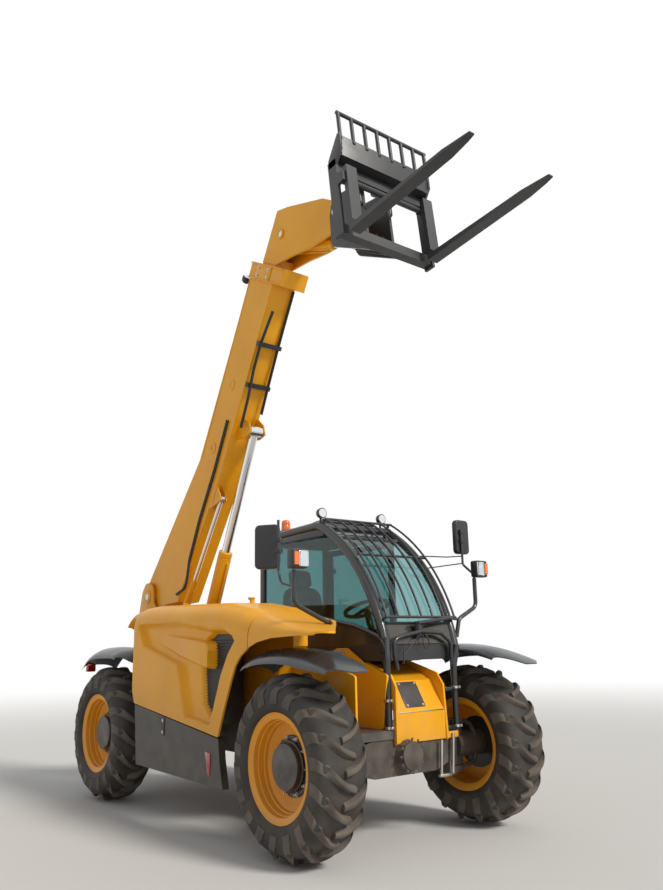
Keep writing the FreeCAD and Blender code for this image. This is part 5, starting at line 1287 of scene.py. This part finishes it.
# %% Hoses clipped along the boom
HOSE_R = 0.0078
HOSE_GAP = 0.022        # between the middles of two hoses side by side
HOSE_RUNS = (
    (-0.395, ((3.188, -0.775), (2.870, -0.720), (2.634, -0.720), (2.363, -0.760), (2.083, -0.775))),
    (-0.200, ((3.408, -0.712), (3.089, -0.712), (2.856, -0.715), (2.481, -0.730), (2.233, -0.745))),
    (-0.4315, ((0.273, -0.500), (0.412, -0.640), (0.665, -0.567), (1.075, -0.550), (1.595, -0.576),
               (2.091, -0.565))),
)
hoses = [tube([boom(u, w - shift, y) for u, w in run], HOSE_R, 0.12, 14, 8)
         for y, run in HOSE_RUNS for shift in (0, HOSE_GAP)]
for u in (2.87, 2.48):
    hoses.append(slab(oblong(u - 0.020, u + 0.020, -0.7005, -0.752), -0.425, -0.175, boom, 0.003))
piece("boom_hoses", hoses, hose_black, "boom", sharp=40)

# %% [markdown]
# ## Cylinders
#
# A cylinder is two turned pieces on one axis: a barrel with a gland at its mouth and an eye at
# its foot, and a polished rod. Stretched cylinders would show no gland and no bore, so each is a
# profile on a lathe. Both start from the two pins, so they lie where the CAD has them.

# %% Barrels and rods


def pin_distance(base, eye, angle):
    """Length from a pin on the frame to a pin on the boom, with the boom at an angle."""
    u, w = eye
    cos, sin = math.cos(math.radians(angle)), math.sin(math.radians(angle))
    return math.hypot(PIVOT[0] + u * cos - w * sin - base[0],
                      PIVOT[1] + u * sin + w * cos - base[1])


def cylinder(name, base, eye, y, closed, barrel_r, rod_r, pin_r, eye_half, head_room):
    """Barrel and rod between two pins, each in place of its CAD node."""
    start, end = np.array([base[0], y, base[1]]), np.array([eye[0], y, eye[1]])
    length = float(np.linalg.norm(end - start))
    axis = (end - start) / length
    eye_r, head = pin_r * 1.75, closed - head_room
    mouth = rod_r + 0.0005
    groove_r, gland_r = barrel_r - 0.003, barrel_r - 0.0005
    wall = [(eye_r * 0.6, barrel_r * 0.7), (eye_r * 0.6 + 0.012, barrel_r),
            (head - 0.056, barrel_r), (head - 0.054, groove_r), (head - 0.048, groove_r),
            (head - 0.046, gland_r), (head - 0.003, gland_r), (head, groove_r),
            (head, mouth), (eye_r + 0.02, mouth)]
    across = unit(np.cross((0, 1, 0), axis))
    oil = [start + axis * along + across * (barrel_r + out) for along, out in (
        (eye_r + 0.05, 0), (eye_r + 0.05, 0.016), (head - 0.09, 0.016), (head - 0.09, 0))]
    shaft = [(length - closed + eye_r + 0.04, rod_r), (length - eye_r * 0.8, rod_r)]
    foot, top = (sleeve(at, (0, 1, 0), pin_r + 0.0005, eye_r, -eye_half, eye_half, 40)
                 for at in (start, end))
    barrel = [solid(wall, start, axis, 56), foot, tube(oil, 0.007, 0.012, 12)]
    piece(name + "_barrel_turned", barrel, plate_yellow, name + "_barrel", (name + "_barrel",),
          30)
    piece(name + "_rod_turned", [solid(shaft, start, axis, 48), top], chrome, name + "_rod",
          (name + "_rod",), 30)


# %% The three cylinders
LIFT_BASE, LIFT_EYE = (-2.500, 1.050), (2.078, -0.835)
LEVEL_BASE, LEVEL_EYE = (-2.860, 1.220), (1.380, -0.780)
TILT_BASE, TILT_ARM = (3.780, -0.660), 0.25


def in_side(u, w):
    """X and Z of a point of the boom."""
    x, _, z = boom(u, w, 0)
    return x, z


def tilt_eye(angle):
    """Pin of the carriage's tilt arm in the boom's axes."""
    turn = math.radians(angle)
    return HINGE[0] + TILT_ARM * math.cos(turn), HINGE[1] + TILT_ARM * math.sin(turn)


BOOM_LOW = 2.5          # the boom's angle with its cylinders closed
TILT_REST, TILT_CLOSED = -150, -185     # angles of the tilt arm
cylinder("lift", LIFT_BASE, in_side(*LIFT_EYE), -0.27,
         pin_distance(LIFT_BASE, LIFT_EYE, BOOM_LOW), 0.065, 0.040, 0.028, 0.064, 0.125)
cylinder("level", LEVEL_BASE, in_side(*LEVEL_EYE), -0.384,
         pin_distance(LEVEL_BASE, LEVEL_EYE, BOOM_LOW), 0.034, 0.020, 0.016, 0.018, 0.160)
cylinder("tilt", in_side(*TILT_BASE), in_side(*tilt_eye(TILT_REST)), BOOM_Y,
         math.dist(TILT_BASE, tilt_eye(TILT_CLOSED)), 0.040, 0.024, 0.020, 0.046, 0.074)

# %% [markdown]
# ## Carriage and load guard
#
# The guard is a frame of round bars on the carriage, cut straight and welded at their ends, so
# each bar is a tube between two points. A curve with a bevel would round its ends. The hitch
# plates carry silver pin heads, and two hoses hang in a loop from the neck.

# %% Guard bars, cross plate and pins
GUARD_RIGHT, GUARD_LEFT = -0.775, 0.175
GUARD_LOW, GUARD_HIGH, GUARD_F = 0.800, 1.040, 0.022
GUARD_BAR_R, GUARD_TOP_R = 0.0155, 0.0160
GUARD_SIDE = [(-0.130, 0.600), (-0.050, 0.600), (0.030, 0.700), (0.034, 0.850), (0.000, 0.850),
              (-0.130, 0.680)]
bars = []
for y in np.linspace(GUARD_RIGHT + GUARD_TOP_R, GUARD_LEFT - GUARD_TOP_R, 8):
    bars.append(tube([fork(GUARD_F, high, y) for high in (GUARD_LOW, GUARD_HIGH)], GUARD_BAR_R, 0))
bars.append(tube([fork(GUARD_F, GUARD_HIGH, y) for y in (GUARD_RIGHT, GUARD_LEFT)], GUARD_TOP_R, 0))
cross = [(0.002, 0.655), (0.016, 0.655), (0.028, 0.830), (0.014, 0.830)]
bars.append(slab(cross, GUARD_RIGHT + 0.02, GUARD_LEFT - 0.02, fork, 0.002))
for y in (GUARD_RIGHT, GUARD_LEFT - 0.02):
    bars.append(slab(GUARD_SIDE, y, y + 0.020, fork, 0.003))
bars.append(slab(oblong(-0.100, 0.010, 0.655, 0.667), GUARD_RIGHT + 0.02, GUARD_LEFT - 0.02, fork,
                 0.002))
piece("guard_frame", bars, charcoal, "carriage", ("load_guard",), 40)

hitch = [(-0.140, 0.600), (-0.140, 0.860), (-0.200, 0.900), (-0.330, 0.820), (-0.345, 0.740),
         (-0.270, 0.680), (-0.250, 0.500), (-0.140, 0.400)]
plates = [slab(soften(hitch, 0.03), y, y + 0.024, fork, 0.003) for y in (-0.4695, -0.1545)]
piece("hitch_plates", plates, charcoal, "carriage", sharp=40)

heads = []
for y, out in ((-0.4695, -1), (-0.1305, 1)):
    heads.append(pin(fork(-0.215, 0.790, y), (0, out, 0), 0.026, 0.012, 0.003, 32))
for y, out in ((-0.4505, -1), (-0.1495, 1)):
    heads.append(pin(boom(*HINGE, y), (0, out, 0), 0.034, 0.012, 0.003, 36))
piece("hitch_pins", heads, zinc, "carriage", sharp=35)
CARRIAGE_RUN = ((4.040, -1.500), (3.965, -1.560), (3.935, -1.651), (3.905, -1.773), (3.940, -1.850),
                (4.000, -1.890))
neck_hose = [tube([boom(u, w, y) for u, w in CARRIAGE_RUN], HOSE_R, 0.05, 14, 8)
             for y in (-0.335, -0.265)]
piece("carriage_hoses", neck_hose, hose_black, "carriage", sharp=40)

# %% [markdown]
# ## Axles
#
# The axle is one dark casting with a round cover at its middle, held by a ring of bolts. Each
# front knuckle carries a curved arm. A ring of bolts is one bolt put round a circle by a loop.

# %% Covers and bolts of the axles
fittings, bolts = [], []
for axle, forward in ((0.0, 1), (-WHEELBASE, -1)):
    face = (axle + forward * 0.199, -0.009, WHEEL_R - 0.004)
    fittings.append(lathe([(0, CORE_R), (0, 0.098), (0.010, 0.094), (0.016, 0.070),
                           (0.018, CORE_R)], face, (forward, 0, 0), 48))
    for turn in np.linspace(0, 2 * np.pi, 12, endpoint=False)[1:]:     # the first place is bare
        spot = (axle + forward * 0.1995, -0.009 + 0.112 * math.cos(turn),
                WHEEL_R - 0.004 + 0.112 * math.sin(turn))
        bolts += hex_bolt(spot, (forward, 0, 0), 0.007, 0.007)
piece("axle_covers", fittings, casting, "chassis", sharp=30)
piece("axle_bolts", bolts, charcoal, "chassis", sharp=35)

# %% [markdown]
# ## Steering arms and tank
#
# The arms ride on the knuckles, so they turn with the wheels. The tank is a block with broad
# rounded edges, as bent and welded sheet has.

# %% Steering arms
ARM_PATH = ((0.630, 0.760), (0.676, 0.770), (0.760, 0.730), (0.830, 0.590), (0.770, 0.450),
            (0.640, 0.440))
for corner, hand in (("front_left", 1), ("front_right", -1)):
    arm = tube([(0.055, hand * y, z) for y, z in ARM_PATH], 0.018, 0.06, 14)
    piece("steering_arm_" + corner, [arm], casting, "knuckle_" + corner,
          sharp=40)

# %% Left-hand tank
tank = [brick(-2.260, -1.660, 0.300, 0.980, 0.420, 1.130, 0.030, 4),
        pin((-1.780, 0.840, 1.130), (0, 0, 1), 0.048, 0.030, 0.004, 32)]
piece("tank_shell", tank, yellow_paint, "chassis", ("left_tank",), 40)

# %% [markdown]
# ## Skirt, seat and lights at the back
#
# The grey skirt under the cover has a latch and a reflector. Both are thin plates with rounded
# corners. Painted marks would have no edge to catch the light.

# %% Latch and reflector of the skirt
SKIRT_Y = -0.9955
latch = soften(oblong(-1.740, -1.680, 0.660, 0.800), 0.01)
piece("skirt_latch", [slab(latch, SKIRT_Y, SKIRT_Y - 0.004, side, 0.001)], plastic, "chassis",
      sharp=35)
latch_bolts = []
for z in (0.685, 0.775):
    latch_bolts += hex_bolt((-1.710, SKIRT_Y - 0.004, z), (0, -1, 0), 0.010, 0.0055)
piece("latch_bolts", latch_bolts, zinc, "chassis", sharp=35)
mark = soften([(-1.010, 0.600), (-0.930, 0.590), (-0.930, 0.430), (-0.965, 0.440)], 0.006)
piece("skirt_reflector", [slab(mark, SKIRT_Y, SKIRT_Y - 0.004, side, 0.001)], red_lens, "chassis")

# %% Tail lamps
tails = []
for hand in (1, -1):
    near, far = sorted((hand * 0.862, hand * 0.950))
    tails.append(brick(-3.545, -3.4905, near, far, 1.125, 1.200, 0.008, 3))
piece("tail_lamp_lenses", tails, red_lens, "chassis", ("tail_lamps",), 40)

# %% [markdown]
# ## Seat
#
# The seat has a base, a back and a head rest. A box with rounded
# edges would look hard, so each is a superellipse in section, crowned above and below, with
# a sewn channel near both sides. The back is the same shape, leaned by an angle.

# %% Seat cushions
CUSHION_POWER = 0.45     # 1 is an ellipse, less is squarer


def cushion(centre, size, lean):
    """Padded block: a superellipse in section, crowned above and below, leaned by an angle."""
    turn = np.linspace(0, 2 * np.pi, 48, endpoint=False)
    level = np.linspace(-np.pi / 2, np.pi / 2, 21)

    def square(v):
        """The value raised to a power, with its sign kept."""
        return np.sign(v) * abs(v) ** CUSHION_POWER

    cos_t, sin_t, cos_l, sin_l = (square(v) for v in (np.cos(turn), np.sin(turn), np.cos(level),
                                                      np.sin(level)))
    a = size[0] / 2 * cos_l[:, None] * cos_t
    b = size[1] / 2 * cos_l[:, None] * sin_t
    c = size[2] / 2 * sin_l[:, None] + 0 * turn
    groove = 0.010 * np.exp(-((abs(b) - size[1] * 0.30) / 0.012) ** 2) * (c > 0)
    c = c - groove
    x = centre[0] + a * math.cos(lean) - c * math.sin(lean)
    z = centre[2] + a * math.sin(lean) + c * math.cos(lean)
    return skin(np.stack([x, centre[1] + b, z], -1))


BACK_LEAN = -1.377
seat = [cushion((-1.140, 0.250, 1.242), (0.475, 0.455, 0.120), 0.0),
        cushion((-1.425, 0.250, 1.585), (0.570, 0.420, 0.095), BACK_LEAN),
        cushion((-1.493, 0.250, 1.945), (0.165, 0.235, 0.055), BACK_LEAN + 0.05),
        brick(-1.330, -0.960, 0.060, 0.440, 0.826, 1.178, 0.020)]
padded = piece("seat_cushions", seat, vinyl, "chassis", ("seat",), 60)

# %% [markdown]
# ## Floor
#
# The floor is a pale disc that fades to white with distance, so it meets the white world
# without a line. A white floor alone would need more light on the machine, and wash it out.

# %% Studio floor
FLOOR_R = 60.0
FLOOR_SIDES, FLOOR_DROP = 96, 0.001
rim = FLOOR_R * circle(*np.eye(3)[:2], FLOOR_SIDES) - (0, 0, FLOOR_DROP)
floor_mesh = bpy.data.meshes.new("studio_floor")
floor_mesh.from_pydata(rim.tolist(), [], [list(range(FLOOR_SIDES))])
floor = bpy.data.objects.new("studio_floor", floor_mesh)
bpy.context.scene.collection.objects.link(floor)
FADE_FROM, FADE_TO = 6.0, 22.0      # metres from the machine
floor_look, tree, shader = new_material("studio_floor")
connect(tree, shader, {"Base Color": (0.62, 0.61, 0.59), "Roughness": 0.9})
far_white = add(tree, "Emission", {"Strength": 1.0}).outputs["Emission"]
floor_place = add(tree, "TexCoord", {}).outputs["Object"]
distance = add(tree, "VectorMath", {0: floor_place}, operation="LENGTH").outputs["Value"]
far_share = add(tree, "MapRange", span(distance, FADE_FROM, FADE_TO, 0.0, 1.0),
                interpolation_type="SMOOTHSTEP").outputs["Result"]
mixer = add(tree, "MixShader", {"Fac": far_share, 1: shader.outputs["BSDF"], 2: far_white})
connect(tree, tree.nodes["Material Output"], {"Surface": mixer.outputs["Shader"]})
floor_mesh.materials.append(floor_look)
print("floor radius", FLOOR_R)

# %% [markdown]
# ## Light
#
# The world lights the machine softly, and shows plain white to the camera, in metal and through
# glass. One broad sun from ahead and a little to the left gives the bright front faces and the
# darker right side. A small lamp would leave hard black shadows under the boom.

# %% World and sun
world = bpy.data.worlds.new("studio")
bpy.context.scene.world = world
world.use_nodes = True
tree = world.node_tree
soft = tree.nodes["Background"]
connect(tree, soft, {"Color": (0.95, 0.97, 1.0), "Strength": 0.46})
white = add(tree, "Background", {"Color": (1.0, 1.0, 1.0), "Strength": 1.0})
ray = add(tree, "LightPath", {}).outputs
seen = add(tree, "Math", {0: ray["Is Camera Ray"], 1: ray["Is Glossy Ray"]}, operation="MAXIMUM")
seen = add(tree, "Math", {0: seen.outputs[0], 1: ray["Is Transmission Ray"]}, operation="MAXIMUM")
world_mix = add(tree, "MixShader", {"Fac": seen.outputs[0], 1: soft.outputs[0],
                                    2: white.outputs[0]})
connect(tree, tree.nodes["World Output"], {"Surface": world_mix.outputs[0]})
print("world strength", round(soft.inputs["Strength"].default_value, 2))

# %% Sun
sun_data = bpy.data.lights.new("soft_sun", "SUN")
sun_data.energy = 2.8
sun_data.angle = math.radians(14)
sun_data.color = (1.0, 0.965, 0.90)
sun = bpy.data.objects.new("soft_sun", sun_data)
sun.rotation_euler = Vector((0.80, 0.20, 0.62)).to_track_quat("Z", "Y").to_euler()
bpy.context.scene.collection.objects.link(sun)
print("sun strength", round(sun_data.energy, 2))

# %% [markdown]
# ## Camera
#
# The camera stands where the photograph was taken. Its axes and its lens were solved from the
# wheels and the boom, so they are written as numbers and not aimed by hand.

# %% Camera
RIGHT, UP, BACK = (0.6171, 0.7867, -0.0180), (0.1975, -0.1327, 0.9713), (0.7618, -0.6029, -0.2372)
CAMERA_PLACE = (AXLE_X + 4.5858, -4.1629, 1.3907)
camera_data = bpy.data.cameras.new("camera")
camera_data.sensor_width = 36
camera_data.lens = 799.04 / 890 * 36
camera = bpy.data.objects.new("camera", camera_data)
aim = Matrix((RIGHT, UP, BACK)).transposed().to_4x4()
camera.matrix_world = Matrix.Translation(CAMERA_PLACE) @ aim
bpy.context.scene.collection.objects.link(camera)
bpy.context.scene.camera = camera
bpy.context.scene.view_settings.view_transform = "Standard"
print("camera at", np.round(CAMERA_PLACE, 3), "with a lens of", round(camera_data.lens, 1), "mm")
